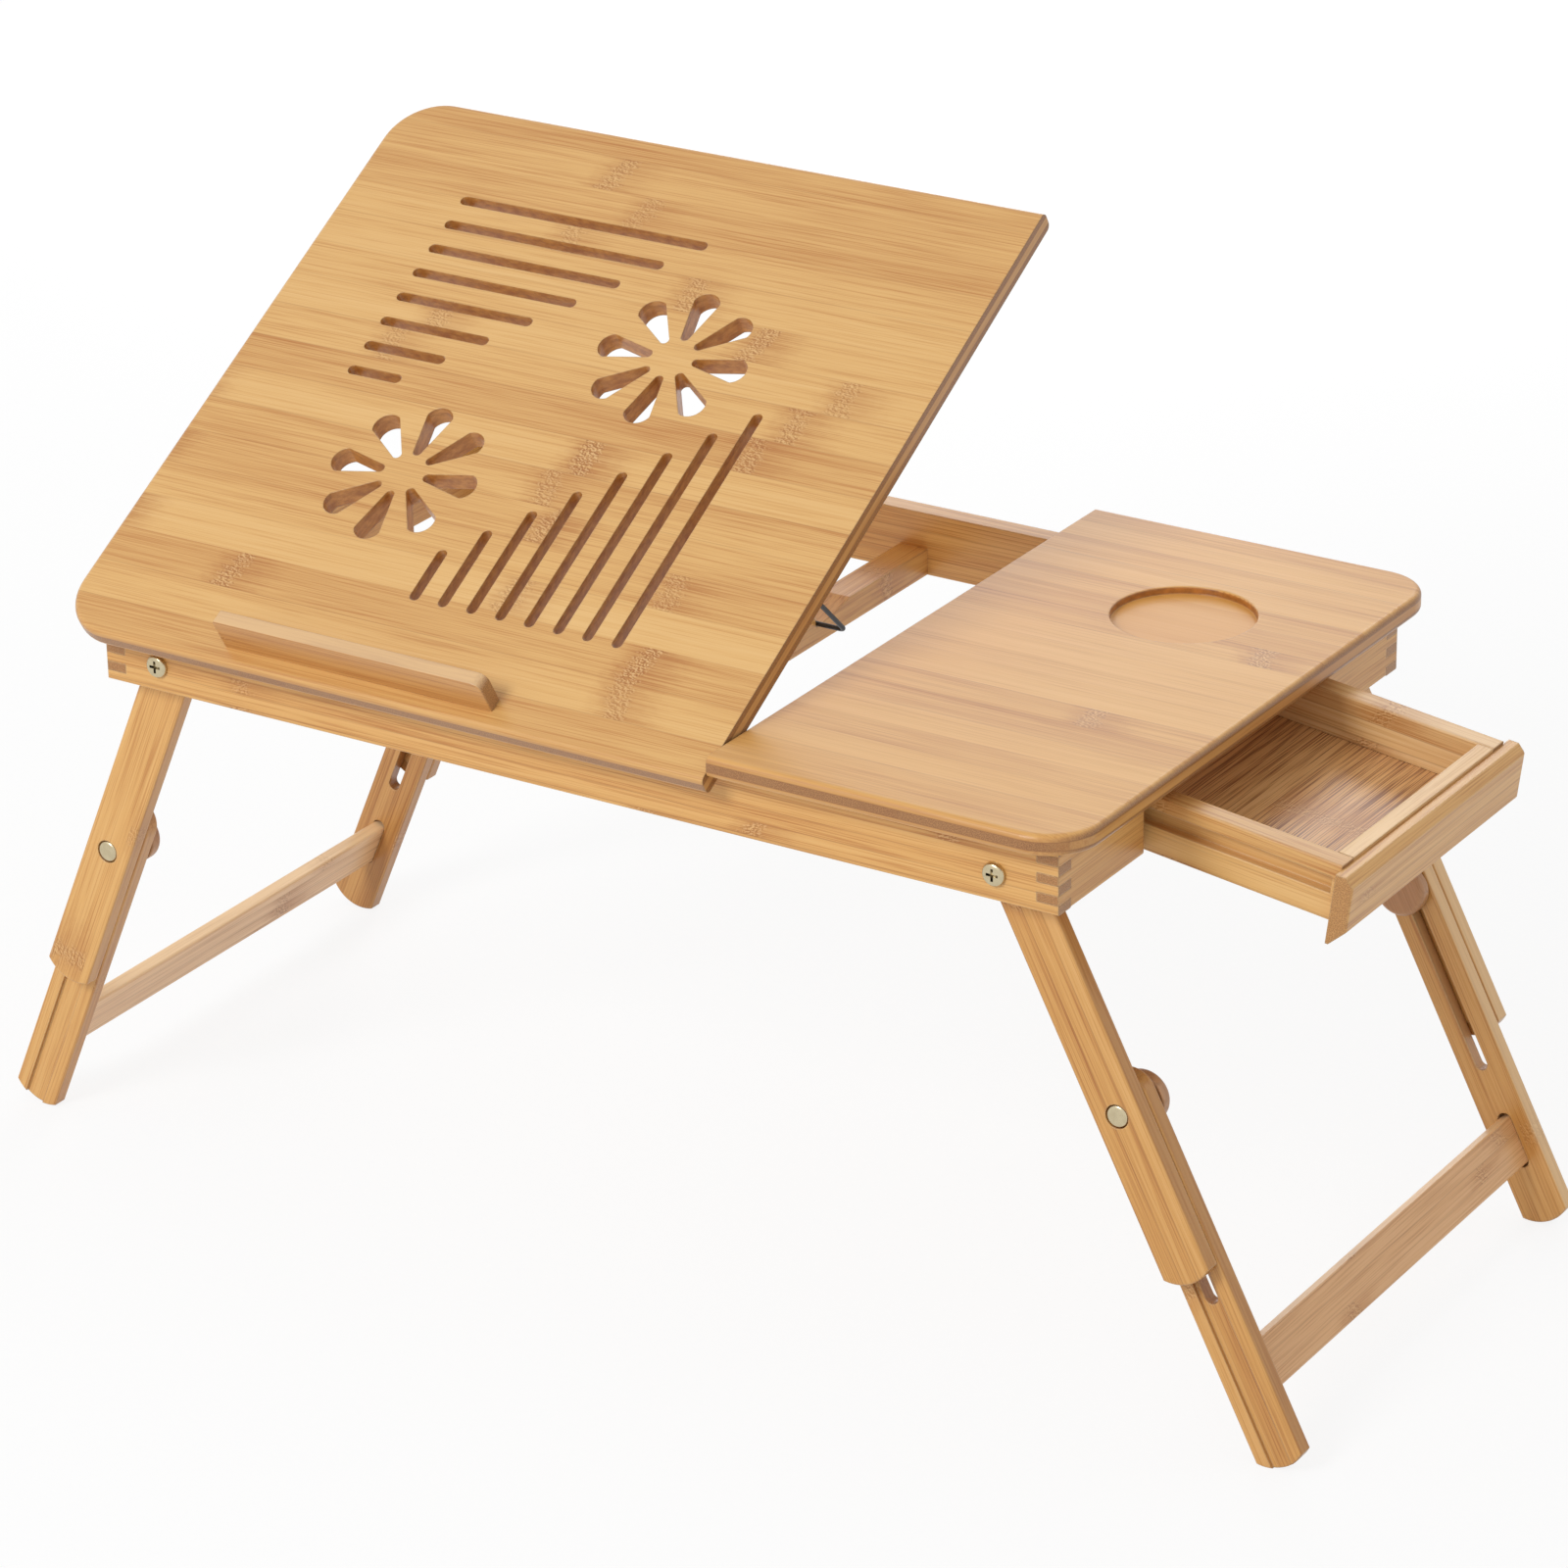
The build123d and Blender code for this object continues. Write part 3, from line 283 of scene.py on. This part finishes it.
def knuckles(put, lay, strips, fibre, colour, gap, share, seed):
    """Colour with a ridge across a strip every gap millimetres, some left out, and the ridges' height."""
    turn = put("Math", [lay.parts[0], 1 / gap, strips.draws[0]], operation="MULTIPLY_ADD")
    joint = put("Math", [turn], operation="FLOOR")
    fate = put("TexWhiteNoise", {"Vector": put("CombineXYZ", [strips.number, joint, seed])}).outputs["Value"]
    strength = put("MapRange", [fate, 0.0, share, 1.0, WEAKEST_KNUCKLE])
    present = put("Math", [fate, share], operation="LESS_THAN")
    strength = put("Math", [strength, present], operation="MULTIPLY")

    # Millimetres from the middle of the ridge, which is ragged and leans its own way on each strip
    away = put("Math", [turn], operation="FRACT")
    away = put("Math", [away, 0.5], operation="SUBTRACT")
    scaled = put("VectorMath", [lay.own, per_mm(RAGGED_MM)], operation="MULTIPLY")
    ragged = put("TexNoise", {"Vector": scaled, **SOFT_NOISE}).outputs[0]
    ragged = put("MapRange", [ragged, *RAGGED_REACH])
    away = put("Math", [away, gap, ragged], operation="MULTIPLY_ADD")
    lean = put("Math", [strips.draws[1], 2 * RIDGE_LEAN_MM, -RIDGE_LEAN_MM], operation="MULTIPLY_ADD")
    away = put("Math", [strips.within, lean, away], operation="MULTIPLY_ADD")

    # The browner stretch sets in before the ridge, fades slowly after it and shows most on the fibre lines
    haze = put("MapRange", [away, *HAZE_START_MM], interpolation_type="SMOOTHSTEP")
    fade = put("MapRange", [away, *HAZE_END_MM, 1.0, 0.0], interpolation_type="SMOOTHSTEP")
    on_fibre = put("MapRange", [fibre, *HAZE_ON_FIBRE])
    for part in (fade, strength, on_fibre):
        haze = put("Math", [haze, part], operation="MULTIPLY")
    tint = linear(KNUCKLE_TINTS["haze"])
    colour = put("Mix", {0: haze, 6: colour, 7: tint}, data_type="RGBA").outputs[2]

    # Flecks of the ridge: short grains with a shadow on one side, a noise less its shifted copy
    near = put("Math", [away], operation="ABSOLUTE")
    near = put("MapRange", [near, *RIDGE_MM, 1.0, 0.0], interpolation_type="SMOOTHSTEP")
    near = put("Math", [near, strength], operation="MULTIPLY")
    scaled = put("VectorMath", [lay.own, per_mm(FLECK_MM)], operation="MULTIPLY")
    fleck = put("TexNoise", {"Vector": scaled, **FLECK_NOISE}).outputs[0]
    moved = put("VectorMath", [lay.own, FLECK_SHADOW_MM], operation="ADD")
    scaled = put("VectorMath", [moved, per_mm(FLECK_MM)], operation="MULTIPLY")
    shadow = put("TexNoise", {"Vector": scaled, **FLECK_NOISE}).outputs[0]
    relief = put("Math", [fleck, shadow], operation="SUBTRACT")
    for ramp, kind in ((FLECK_DARK, "dark"), (FLECK_PALE, "pale")):
        share = put("MapRange", [relief, *ramp])
        share = put("Math", [near, share], operation="MULTIPLY")
        tint = linear(KNUCKLE_TINTS[kind])
        colour = put("Mix", {0: share, 6: colour, 7: tint}, data_type="RGBA").outputs[2]
    return colour, put("Math", [near, relief], operation="MULTIPLY")


def strip_glue(put, strips, colour, strip):
    """Colour with glue lines between the strips, darker on some than on others."""
    edge = put("Math", [strips.within], operation="ABSOLUTE")
    seam = put("MapRange", [edge, 0.5 - GLUE_MM / strip, 0.5, 0.0, GLUE_SHARE])
    seam = put("Math", [seam, strips.draws[1]], operation="MULTIPLY")
    return put("Mix", {0: seam, 6: colour, 7: linear(GLUE)}, data_type="RGBA").outputs[2]


def sawn_ends(put, lay, colour, ends):
    """Colour with sawn ends where the surface looks along the fibres: dark pores in paler wood."""
    looks = put("VectorMath", [lay.normal, lay.fibre_axis], operation="DOT_PRODUCT").outputs[1]
    looks = put("Math", [looks], operation="ABSOLUTE")
    end = put("MapRange", [looks, *END_TURN])
    section = put("CombineXYZ", [lay.parts[1], lay.parts[2]])
    pores = put("TexVoronoi", {"Vector": section, "Scale": 1 / PORE_MM}, voronoi_dimensions="2D")
    pores = put("MapRange", [pores.outputs["Distance"], *PORE_RIM])
    sawn = put("Mix", {0: pores, 6: linear(ends[0]), 7: linear(ends[1])}, data_type="RGBA").outputs[2]
    return put("Mix", {0: end, 6: colour, 7: sawn}, data_type="RGBA").outputs[2]


def ply_glue(put, lay, colour):
    """Colour with two glue lines on the board's sides, where the middle ply begins and ends."""
    off = lay.level
    for edge in MIDDLE_PLY:
        off = put("Math", [off, edge], operation="SUBTRACT")
        off = put("Math", [off], operation="ABSOLUTE")
    glue = put("MapRange", [off, *PLY_GLUE])
    glue = put("Math", [glue, lay.upright], operation="MULTIPLY")
    return put("Mix", {0: glue, 6: colour, 7: linear(GLUE)}, data_type="RGBA").outputs[2]


def routed_area(put, lay, colour, middle, half, wall, floor):
    """Colour with the walls of an area cut into the board, partly scorched and partly painted shade, and its
    floor where it has one.
    """
    inside = put("Math", [lay.along, middle[0], half[0]], operation="COMPARE")
    inside_too = put("Math", [lay.across, middle[1], half[1]], operation="COMPARE")
    inside = put("Math", [inside, inside_too], operation="MULTIPLY")
    if floor:
        sunk = put("Math", [lay.level, *ROUTED_LEVEL], operation="COMPARE")
        for part in (inside, ROUTED_FLOOR_SHARE):
            sunk = put("Math", [sunk, part], operation="MULTIPLY")
        colour = put("Mix", {0: sunk, 6: colour, 7: linear(floor)}, data_type="RGBA").outputs[2]
    # Painted shade: the walls of the cut take darker colours, which also stand for the cutter's scorching
    scaled = put("VectorMath", [lay.own, per_mm(CHATTER_MM)], operation="MULTIPLY")
    chatter = put("TexNoise", {"Vector": scaled, **CHATTER_NOISE}).outputs[0]
    chatter = put("MapRange", [chatter, *CHATTER_BAND])
    scorch_and_shade = put("Mix", {0: chatter, 6: linear(wall[0]), 7: linear(wall[1])}, data_type="RGBA").outputs[2]
    walls = put("Math", [lay.upright, ROUTED_WALL_SHARE], operation="MULTIPLY")
    walls = put("Math", [walls, inside], operation="MULTIPLY")
    return put("Mix", {0: walls, 6: colour, 7: scorch_and_shade}, data_type="RGBA").outputs[2]


def bamboo(
    name,
    grain,
    face,
    strip=20.0,
    seed=1.0,
    tones=BOARD_TONES,
    streak=1.0,
    lines=1.0,
    knuckle_gap=230.0,
    knuckle_share=0.75,
    ends=BOARD_ENDS,
    side_light_and_shade=None,
    start=0.0,
    edge_wear_and_highlight=0.4,
    plies=None,
    routed=None,
):
    """Bamboo whose fibres run along grain and whose strips lie side by side across it, on the given face.

    strip, knuckle_gap and start, where a strip begins, are in millimetres. knuckle_share is the share of the
    knuckles that are kept. tones run from deep to pale, streak and lines scale the contrast of broad and of
    thin marks, and ends are the colours of sawn ends. The tint of the faces beside the given one is painted
    shade where it is darker and painted light where it is paler. The edge share is how far edges turn pale,
    partly sanded-through wear and partly a painted highlight of their rounding. plies is the height of the
    face and the board's thickness in millimetres: its middle ply then lies crosswise. routed is an area cut
    into the
    board: its middle and half size along grain and across it in millimetres, the two colours of its walls,
    partly scorched and partly painted shade, and that of its floor.
    """
    grain = Vector(grain).normalized()
    material, put = new_material(name)
    lay = lay_of_cane(put, grain, face, plies)
    strips = split_strips(put, lay, strip, start, seed)
    colour, fibre, streaks = cane_tone(put, lay, strips, tones, streak, lines)
    colour, ridges = knuckles(put, lay, strips, fibre, colour, knuckle_gap, knuckle_share, seed)
    colour = strip_glue(put, strips, colour, strip)
    # Painted shade or light on the faces beside the given one: a darker tint shades them, a paler one lights
    # them
    if side_light_and_shade:
        share = put("Math", [lay.upright, SIDE_LIGHT_SHADE_SHARE], operation="MULTIPLY")
        colour = put("Mix", {0: share, 6: colour, 7: linear(side_light_and_shade)}, data_type="RGBA").outputs[2]
    colour = sawn_ends(put, lay, colour, ends)
    if plies:
        colour = ply_glue(put, lay, colour)
    if routed:
        colour = routed_area(put, lay, colour, *routed)

    # Edges turn paler, partly sanded-through wear and partly a painted highlight of their rounding: where a
    # rounded normal leaves the surface's own
    rounded = put("Bevel", {"Radius": EDGE_MM * MM}, samples=4)
    plain = put("NewGeometry").outputs["Normal"]
    bend = put("VectorMath", [rounded, plain], operation="DOT_PRODUCT").outputs[1]
    pale_edge = put("MapRange", [bend, *EDGE_BEND, 0.0, edge_wear_and_highlight])
    colour = put("Mix", {0: pale_edge, 6: colour, 7: linear(EDGE_WEAR_AND_HIGHLIGHT)}, data_type="RGBA").outputs[2]

    height = put("Math", [fibre, FIBRE_RELIEF, ridges], operation="MULTIPLY_ADD")
    relief = {"Strength": RELIEF_STRENGTH, "Distance": RELIEF_MM * MM}
    bump = put("Bump", {"Height": height, "Normal": rounded, **relief})
    gloss = put("MapRange", [streaks, *LACQUER_GLOSS])
    put("OutputMaterial", [put("BsdfPrincipled", {"Base Color": colour, "Roughness": gloss, "Normal": bump})])
    return material


# The boards' plies: height of the upper face and thickness
board_up, board_across = tilt @ Z, (tilt @ Z).cross(X)
board_floor, board_face = span("tilting_top", board_up)
top_floor, top_face = span("fixed_top", Z)
board_plies = (board_face, board_face - board_floor)
top_plies = (top_face, top_face - top_floor)

# The vents lie in the inner share of the board, clear of its outer edges
VENT_SHARE = 0.8
board_reach = [span("tilting_top", axis) for axis in (X, board_across)]
vents_middle = [(low + high) / 2 for low, high in board_reach]
vents_half = [(high - low) / 2 * VENT_SHARE for low, high in board_reach]

# The cup recess, in millimetres, by its distance from the fixed top's right and back edges
CUP_RADIUS, CUP_RIGHT_INSET, CUP_BACK_INSET, CUP_MARGIN = 34.5, 83.8, 98.6, 0.5
cup_middle = (TOP_HIGH.x / MM - CUP_RIGHT_INSET, TOP_HIGH.y / MM - CUP_BACK_INSET)
cup_half = (CUP_RADIUS + CUP_MARGIN, CUP_RADIUS + CUP_MARGIN)

# Both tops: edges that turn little paler, three plies that show on their sides, and a darker side tint that
# is partly the plies' own colour and partly painted shade
PLYWOOD = {"side_light_and_shade": BOARD_SIDE_TONE_AND_SHADE, "edge_wear_and_highlight": 0.15}
board = bamboo(
    "bamboo_board", X, board_up, strip=21.0, seed=3.0, lines=0.8, start=15.0, plies=board_plies,
    routed=(vents_middle, vents_half, VENT_WALL, None), **PLYWOOD,
)
dress(board, "tilting_top")
side_top = bamboo(
    "bamboo_side_top", X, Z, strip=20.0, seed=8.0, tones=TOP_TONES, streak=1.1, lines=0.7, knuckle_share=0.12,
    plies=top_plies, routed=(cup_middle, cup_half, CUP_WALL, CUP_FLOOR), **PLYWOOD,
)
dress(side_top, "fixed_top")

# The ledge: darker tones paint shade on its downward-facing front, a pale side tint paints a sheen on its top
LEDGE = {"tones": LEDGE_SHADED_TONES, "ends": FRAME_ENDS, "side_light_and_shade": LIT_SIDES}
dress(bamboo("bamboo_ledge", X, tilt @ Y, strip=4.0, seed=5.0, knuckle_share=0.2, **LEDGE), "stop_ledge")

FRAME = {"tones": FRAME_TONES, "ends": FRAME_ENDS}
RAIL = {"strip": 7.0, "streak": 0.75, **FRAME}
dress(bamboo("bamboo_long_rail", X, Y, seed=11.0, knuckle_share=0.5, **RAIL), "front_rail", "back_rail")
end_rail = bamboo("bamboo_end_rail", Y, X, seed=14.0, knuckle_share=0.3, **RAIL)
dress(end_rail, "left_rail", "right_rail_front", "right_rail_back")
dress(bamboo("bamboo_cross_rail", Y, Z, strip=16.0, seed=17.0, **FRAME), "cross_rail")
guide = bamboo("bamboo_guide", X, Y, strip=12.0, seed=19.0, **FRAME)
dress(guide, "drawer_guide_front", "drawer_guide_back", "drawer_runner_strips")

# The drawer's walls were cut from paler cane, its bottom is a thin sheet with strong dark lines
PALE_WALL = {"tones": DRAWER_TONES, "ends": FRAME_ENDS}
near_side = bamboo("bamboo_drawer_near_side", droop @ X, Y, strip=9.0, seed=23.0, ends=FRAME_ENDS)
dress(near_side, "drawer_side_front")
far_side = bamboo("bamboo_drawer_far_side", droop @ X, Y, strip=9.0, seed=26.0, **PALE_WALL)
dress(far_side, "drawer_side_back")
drawer_wall = bamboo("bamboo_drawer_wall", Y, droop @ X, strip=12.0, seed=29.0, streak=0.8, **PALE_WALL)
dress(drawer_wall, "drawer_front_wall", "drawer_back_wall")
PANEL = {"tones": FRAME_TONES, "ends": PANEL_ENDS, "knuckle_share": 0.2}
panel = bamboo("bamboo_drawer_front", Y, droop @ X, strip=5.5, seed=31.0, streak=0.8, **PANEL)
dress(panel, "drawer_front_panel")
SHEET = {"tones": BOTTOM_TONES, "lines": 2.0, "knuckle_share": 0.8}
drawer_bottom = bamboo("bamboo_drawer_bottom", Y, droop @ Z, strip=48.0, seed=37.0, streak=0.8, **SHEET)
dress(drawer_bottom, "drawer_bottom")

# Legs: the left front upper one was cut from one broad strip with a narrow browner one beside it, the others
# from several strips. Each end of the table has its own seed, and each piece there a step from it. The legs'
# sides take a darker tint of painted shade, but the right back legs' sides a paler tint of painted light, and
# the left back legs take darker tones that paint the shade they stand in.
NARROW_STRIP = 4.6
leg_edge = span("left_front_upper_leg", left_lean @ X)[1] - NARROW_STRIP
LOWER_STEP, STRETCHER_STEP, KNOB_STEP, BACK_STEP = 3, 5, 7, 9
LEFT_END = SimpleNamespace(
    name="left", lean=left_lean, seed=41.0, upper={"strip": 26.0, "streak": 0.8, "start": leg_edge},
    front={"tones": FRAME_TONES, "side_light_and_shade": FRAME_SHADED_SIDES},
    back={"tones": LEFT_BACK_LEG_SHADED_TONES, "side_light_and_shade": FRAME_SHADED_SIDES}, stretcher=LEFT_STRETCHER_TONES,
)
RIGHT_END = SimpleNamespace(
    name="right", lean=right_lean, seed=47.0, upper={"strip": 9.0},
    front={"tones": RIGHT_LEG_TONES, "side_light_and_shade": FRAME_SHADED_SIDES},
    back={"tones": RIGHT_LEG_TONES, "side_light_and_shade": RIGHT_BACK_LIT_SIDES}, stretcher=RIGHT_STRETCHER_TONES,
)
LEG_STRIP = {"strip": 9.0, "ends": FRAME_ENDS}
# Stretchers: the pale side tint paints a sheen on the faces beside the outward one, the upper face among them
STRETCHER = {"strip": 8.0, "streak": 0.7, "ends": FRAME_ENDS, "side_light_and_shade": LIT_SIDES}
KNOB = {"strip": 30.0, "tones": KNOB_TONES, "streak": 0.5, "lines": 0.6, "knuckle_share": 0.0}
for end in (LEFT_END, RIGHT_END):
    down, outward = end.lean @ Z, end.lean @ X
    own = {"seed": end.seed, "ends": FRAME_ENDS, **end.upper}
    dress(bamboo(f"bamboo_{end.name}_upper", down, Y, **own, **end.front), f"{end.name}_front_upper_leg")
    lower = bamboo(f"bamboo_{end.name}_lower", down, Y, seed=end.seed + LOWER_STEP, **LEG_STRIP, **end.front)
    dress(lower, f"{end.name}_front_lower_leg")
    back = bamboo(f"bamboo_{end.name}_back_leg", down, Y, seed=end.seed + BACK_STEP, **LEG_STRIP, **end.back)
    dress(back, f"{end.name}_back_upper_leg", f"{end.name}_back_lower_leg")
    own = {"seed": end.seed + STRETCHER_STEP, "tones": end.stretcher}
    dress(bamboo(f"bamboo_{end.name}_stretcher", Y, outward, **own, **STRETCHER), f"{end.name}_stretcher")
    knob = bamboo(f"bamboo_{end.name}_knob", down, Y, seed=end.seed + KNOB_STEP, **KNOB)
    dress(knob, f"{end.name}_front_knob", f"{end.name}_back_knob")
dress(bamboo("bamboo_dowel", Y, Z, strip=12.0, seed=2.0), "cross_rail_dowels", "stop_ledge_dowels")

# Plated steel and turned brass: bright metal, faintly clouded and scratched, with painted shade in the driver
# recess of a screw. Coated wire: nearly black and satin, with a fine orange-peel skin. Sizes are in
# millimetres.
PLATE_CLOUD_MM, PLATE_SCRATCH_MM, RECESS_SHADE_REACH_MM, SCRATCH_DEPTH_MM = 2.5, 0.8, 1.5, 0.03
PEEL_MM, PEEL_DEPTH_MM = 0.6, 0.05
CLOUD_BAND = (0.3, 0.7)
GLOSS_SPREAD = (-0.06, 0.08)
DULLING = (0.3, 0.75, 0.0, 0.25)
RECESS_SHADE_RAMP = (0.75, 0.35, 0.0, 0.9)
PEEL_GLOSS = (0.3, 0.7, 0.34, 0.46)
DULL_PLATE, RECESS_SHADE = "#978763", "#3C2912"
WIRE_COATS = ("#141416", "#242427")


def plated_metal(name, colour, roughness):
    """Metal of one colour and roughness, which both vary with a soft noise, over tiny scratches."""
    material, put = new_material(name)
    point = put("TexCoord").outputs["Object"]
    cloud = put("TexNoise", {"Vector": point, "Scale": 1 / (PLATE_CLOUD_MM * MM), "Detail": 2.0}).outputs[0]
    scratch = put("TexNoise", {"Vector": point, "Scale": 1 / (PLATE_SCRATCH_MM * MM), "Detail": 3.0})
    rough = put("MapRange", [cloud, *CLOUD_BAND, *(roughness + spread for spread in GLOSS_SPREAD)])
    dull = put("MapRange", [cloud, *DULLING])
    tint = put("Mix", {0: dull, 6: linear(colour), 7: linear(DULL_PLATE)}, data_type="RGBA").outputs[2]
    # Painted shade: darker where ambient occlusion finds the surface closed in, as in a screw's driver recess
    recess_shade = put("AmbientOcclusion", {"Distance": RECESS_SHADE_REACH_MM * MM}, only_local=True).outputs["AO"]
    recess_shade = put("MapRange", [recess_shade, *RECESS_SHADE_RAMP])
    tint = put("Mix", {0: recess_shade, 6: tint, 7: linear(RECESS_SHADE)}, data_type="RGBA")
    scratch = {"Height": scratch.outputs[0], "Strength": 0.1, "Distance": SCRATCH_DEPTH_MM * MM}
    finish = {"Metallic": 1.0, "Roughness": rough, "Normal": put("Bump", scratch)}
    put("OutputMaterial", [put("BsdfPrincipled", {"Base Color": tint, **finish})])
    return material


def coated_wire():
    """Steel wire under a black coat, whose tone, gloss and height follow one fine noise."""
    material, put = new_material("black_coated_wire")
    point = put("TexCoord").outputs["Object"]
    peel = put("TexNoise", {"Vector": point, "Scale": 1 / (PEEL_MM * MM), "Detail": 2.0}).outputs[0]
    tint = put("Mix", {0: peel, 6: linear(WIRE_COATS[0]), 7: linear(WIRE_COATS[1])}, data_type="RGBA")
    rough = put("MapRange", [peel, *PEEL_GLOSS])
    bump = put("Bump", {"Height": peel, "Strength": 0.15, "Distance": PEEL_DEPTH_MM * MM})
    put("OutputMaterial", [put("BsdfPrincipled", {"Base Color": tint, "Roughness": rough, "Normal": bump})])
    return material


NICKEL, NICKEL_ROUGHNESS = "#CDBF9E", 0.27
BRASS, BRASS_ROUGHNESS = "#A98A54", 0.4
HARDWARE = ("screws", "washers", "nuts", "bolts", "leaves", "saddles", "pins")
plated = [name for name in nodes if any(word in name for word in HARDWARE)]
dress(plated_metal("warm_nickel_plate", NICKEL, NICKEL_ROUGHNESS), *plated)
inserts = [name for name in nodes if name.endswith("knob_insert")]
dress(plated_metal("dull_turned_brass", BRASS, BRASS_ROUGHNESS), *inserts)
dress(coated_wire(), "prop_bail")

# Stage: a pale floor that stays white to the camera and keeps a soft shadow, under a white sky
PAPER = ("#EBEBEB", "#F2F2F2")
PAPER_GRAIN_MM = 4.0
PAPER_GLOW = 0.85
FLOOR_HALF = 6.0
SKY_LEVEL = 0.66
WHITE = (1.0, 1.0, 1.0, 1.0)


def paper_floor():
    """Matte white paper, full white to the camera but for a share of real shading that keeps the shadow."""
    material, put = new_material("white_paper_floor")
    path = put("LightPath").outputs
    seen = put("Math", [path["Is Camera Ray"], path["Is Glossy Ray"]], operation="MAXIMUM")
    point = put("TexCoord").outputs["Object"]
    grain = put("TexNoise", {"Vector": point, "Scale": 1 / (PAPER_GRAIN_MM * MM)}).outputs[0]
    tint = put("Mix", {0: grain, 6: linear(PAPER[0]), 7: linear(PAPER[1])}, data_type="RGBA")
    glow = put("Emission", {"Color": WHITE, "Strength": 1.0})
    share = put("Math", [seen, PAPER_GLOW], operation="MULTIPLY")
    put("OutputMaterial", [put("MixShader", [share, put("BsdfDiffuse", {"Color": tint}), glow])])
    return material


def stage_floor():
    """A flat square sheet on the ground: x and y are each plus or minus its half size, z is zero."""
    x, y = np.meshgrid([-FLOOR_HALF, FLOOR_HALF], [-FLOOR_HALF, FLOOR_HALF])
    points = np.stack([x.ravel(), y.ravel(), np.zeros(x.size)], 1)
    mesh = bpy.data.meshes.new("floor")
    mesh.from_pydata(points.tolist(), [], [(0, 1, 3, 2)])
    mesh.materials.append(paper_floor())
    floor = bpy.data.objects.new("floor", mesh)
    bpy.context.scene.collection.objects.link(floor)


def sky():
    """Plain white world: full white to the camera and in reflections, softer as a lamp."""
    world = bpy.data.worlds.new("studio")
    world.use_nodes = True
    world.node_tree.nodes.clear()
    put = functools.partial(add, world.node_tree)
    path = put("LightPath").outputs
    seen = put("Math", [path["Is Camera Ray"], path["Is Transmission Ray"]], operation="MAXIMUM")
    seen = put("Math", [seen, path["Is Glossy Ray"]], operation="MAXIMUM")
    strength = put("MapRange", [seen, 0.0, 1.0, SKY_LEVEL, 1.0])
    put("OutputWorld", [put("Background", [WHITE, strength])])
    bpy.context.scene.world = world


stage_floor()
sky()

# Soft studio light: each lamp's place and size in metres, and its watts. The low back lamp is left out of
# reflections, because it would burn out the stretchers' upper edges.
TABLE_MIDDLE = Vector((0.0, 0.0, 0.25))
SOFTBOXES = {
    "overhead_softbox": ((0.6, 0.8, 2.4), 1.8, 1.5),
    "key_softbox": ((-0.6, -2.9, 2.3), 1.2, 58.0),
    "back_softbox": ((-1.1, 2.0, 0.35), 0.7, 16.0),
    "high_back_softbox": ((-0.4, 2.2, 1.7), 0.7, 4.6),
    "sheen_softbox": ((-1.15, 2.1, 0.85), 0.7, 2.8),
}
for name, (place, size, watts) in SOFTBOXES.items():
    lamp = bpy.data.lights.new(name, "AREA")
    lamp.shape, lamp.size, lamp.energy = "SQUARE", size, watts
    softbox = bpy.data.objects.new(name, lamp)
    softbox.location = place
    softbox.rotation_euler = (TABLE_MIDDLE - Vector(place)).to_track_quat("-Z", "Y").to_euler()
    softbox.visible_camera = False
    softbox.visible_glossy = name != "back_softbox"
    bpy.context.scene.collection.objects.link(softbox)

# Camera at the photograph's place: its focal length as a share of the frame's width, metres from the seam
# of the tops, and degrees
FOCAL_SHARE = 6042.03 / 1600
CAMERA_FROM_SEAM = Vector((1.3284, -1.99633, 1.05269))
YAW, PITCH, ROLL = math.radians(32.817), math.radians(23.98), math.radians(-0.941)


def photo_camera():
    """Camera turned by yaw about the vertical, down by pitch, and by a small roll about its line of sight."""
    ahead = Vector((-math.sin(YAW) * math.cos(PITCH), math.cos(YAW) * math.cos(PITCH), -math.sin(PITCH)))
    level = Vector((math.cos(YAW), math.sin(YAW), 0.0))
    above = level.cross(ahead)
    right = math.cos(ROLL) * level + math.sin(ROLL) * above
    up = -math.sin(ROLL) * level + math.cos(ROLL) * above
    camera = bpy.data.cameras.new("photo_camera")
    camera.lens = FOCAL_SHARE * camera.sensor_width
    holder = bpy.data.objects.new("photo_camera", camera)
    turn = Matrix((right, up, -ahead)).transposed().to_4x4()
    holder.matrix_world = Matrix.Translation(SEAM + CAMERA_FROM_SEAM) @ turn
    bpy.context.scene.collection.objects.link(holder)
    bpy.context.scene.camera = holder


photo_camera()
bpy.context.scene.view_settings.view_transform = "Standard"
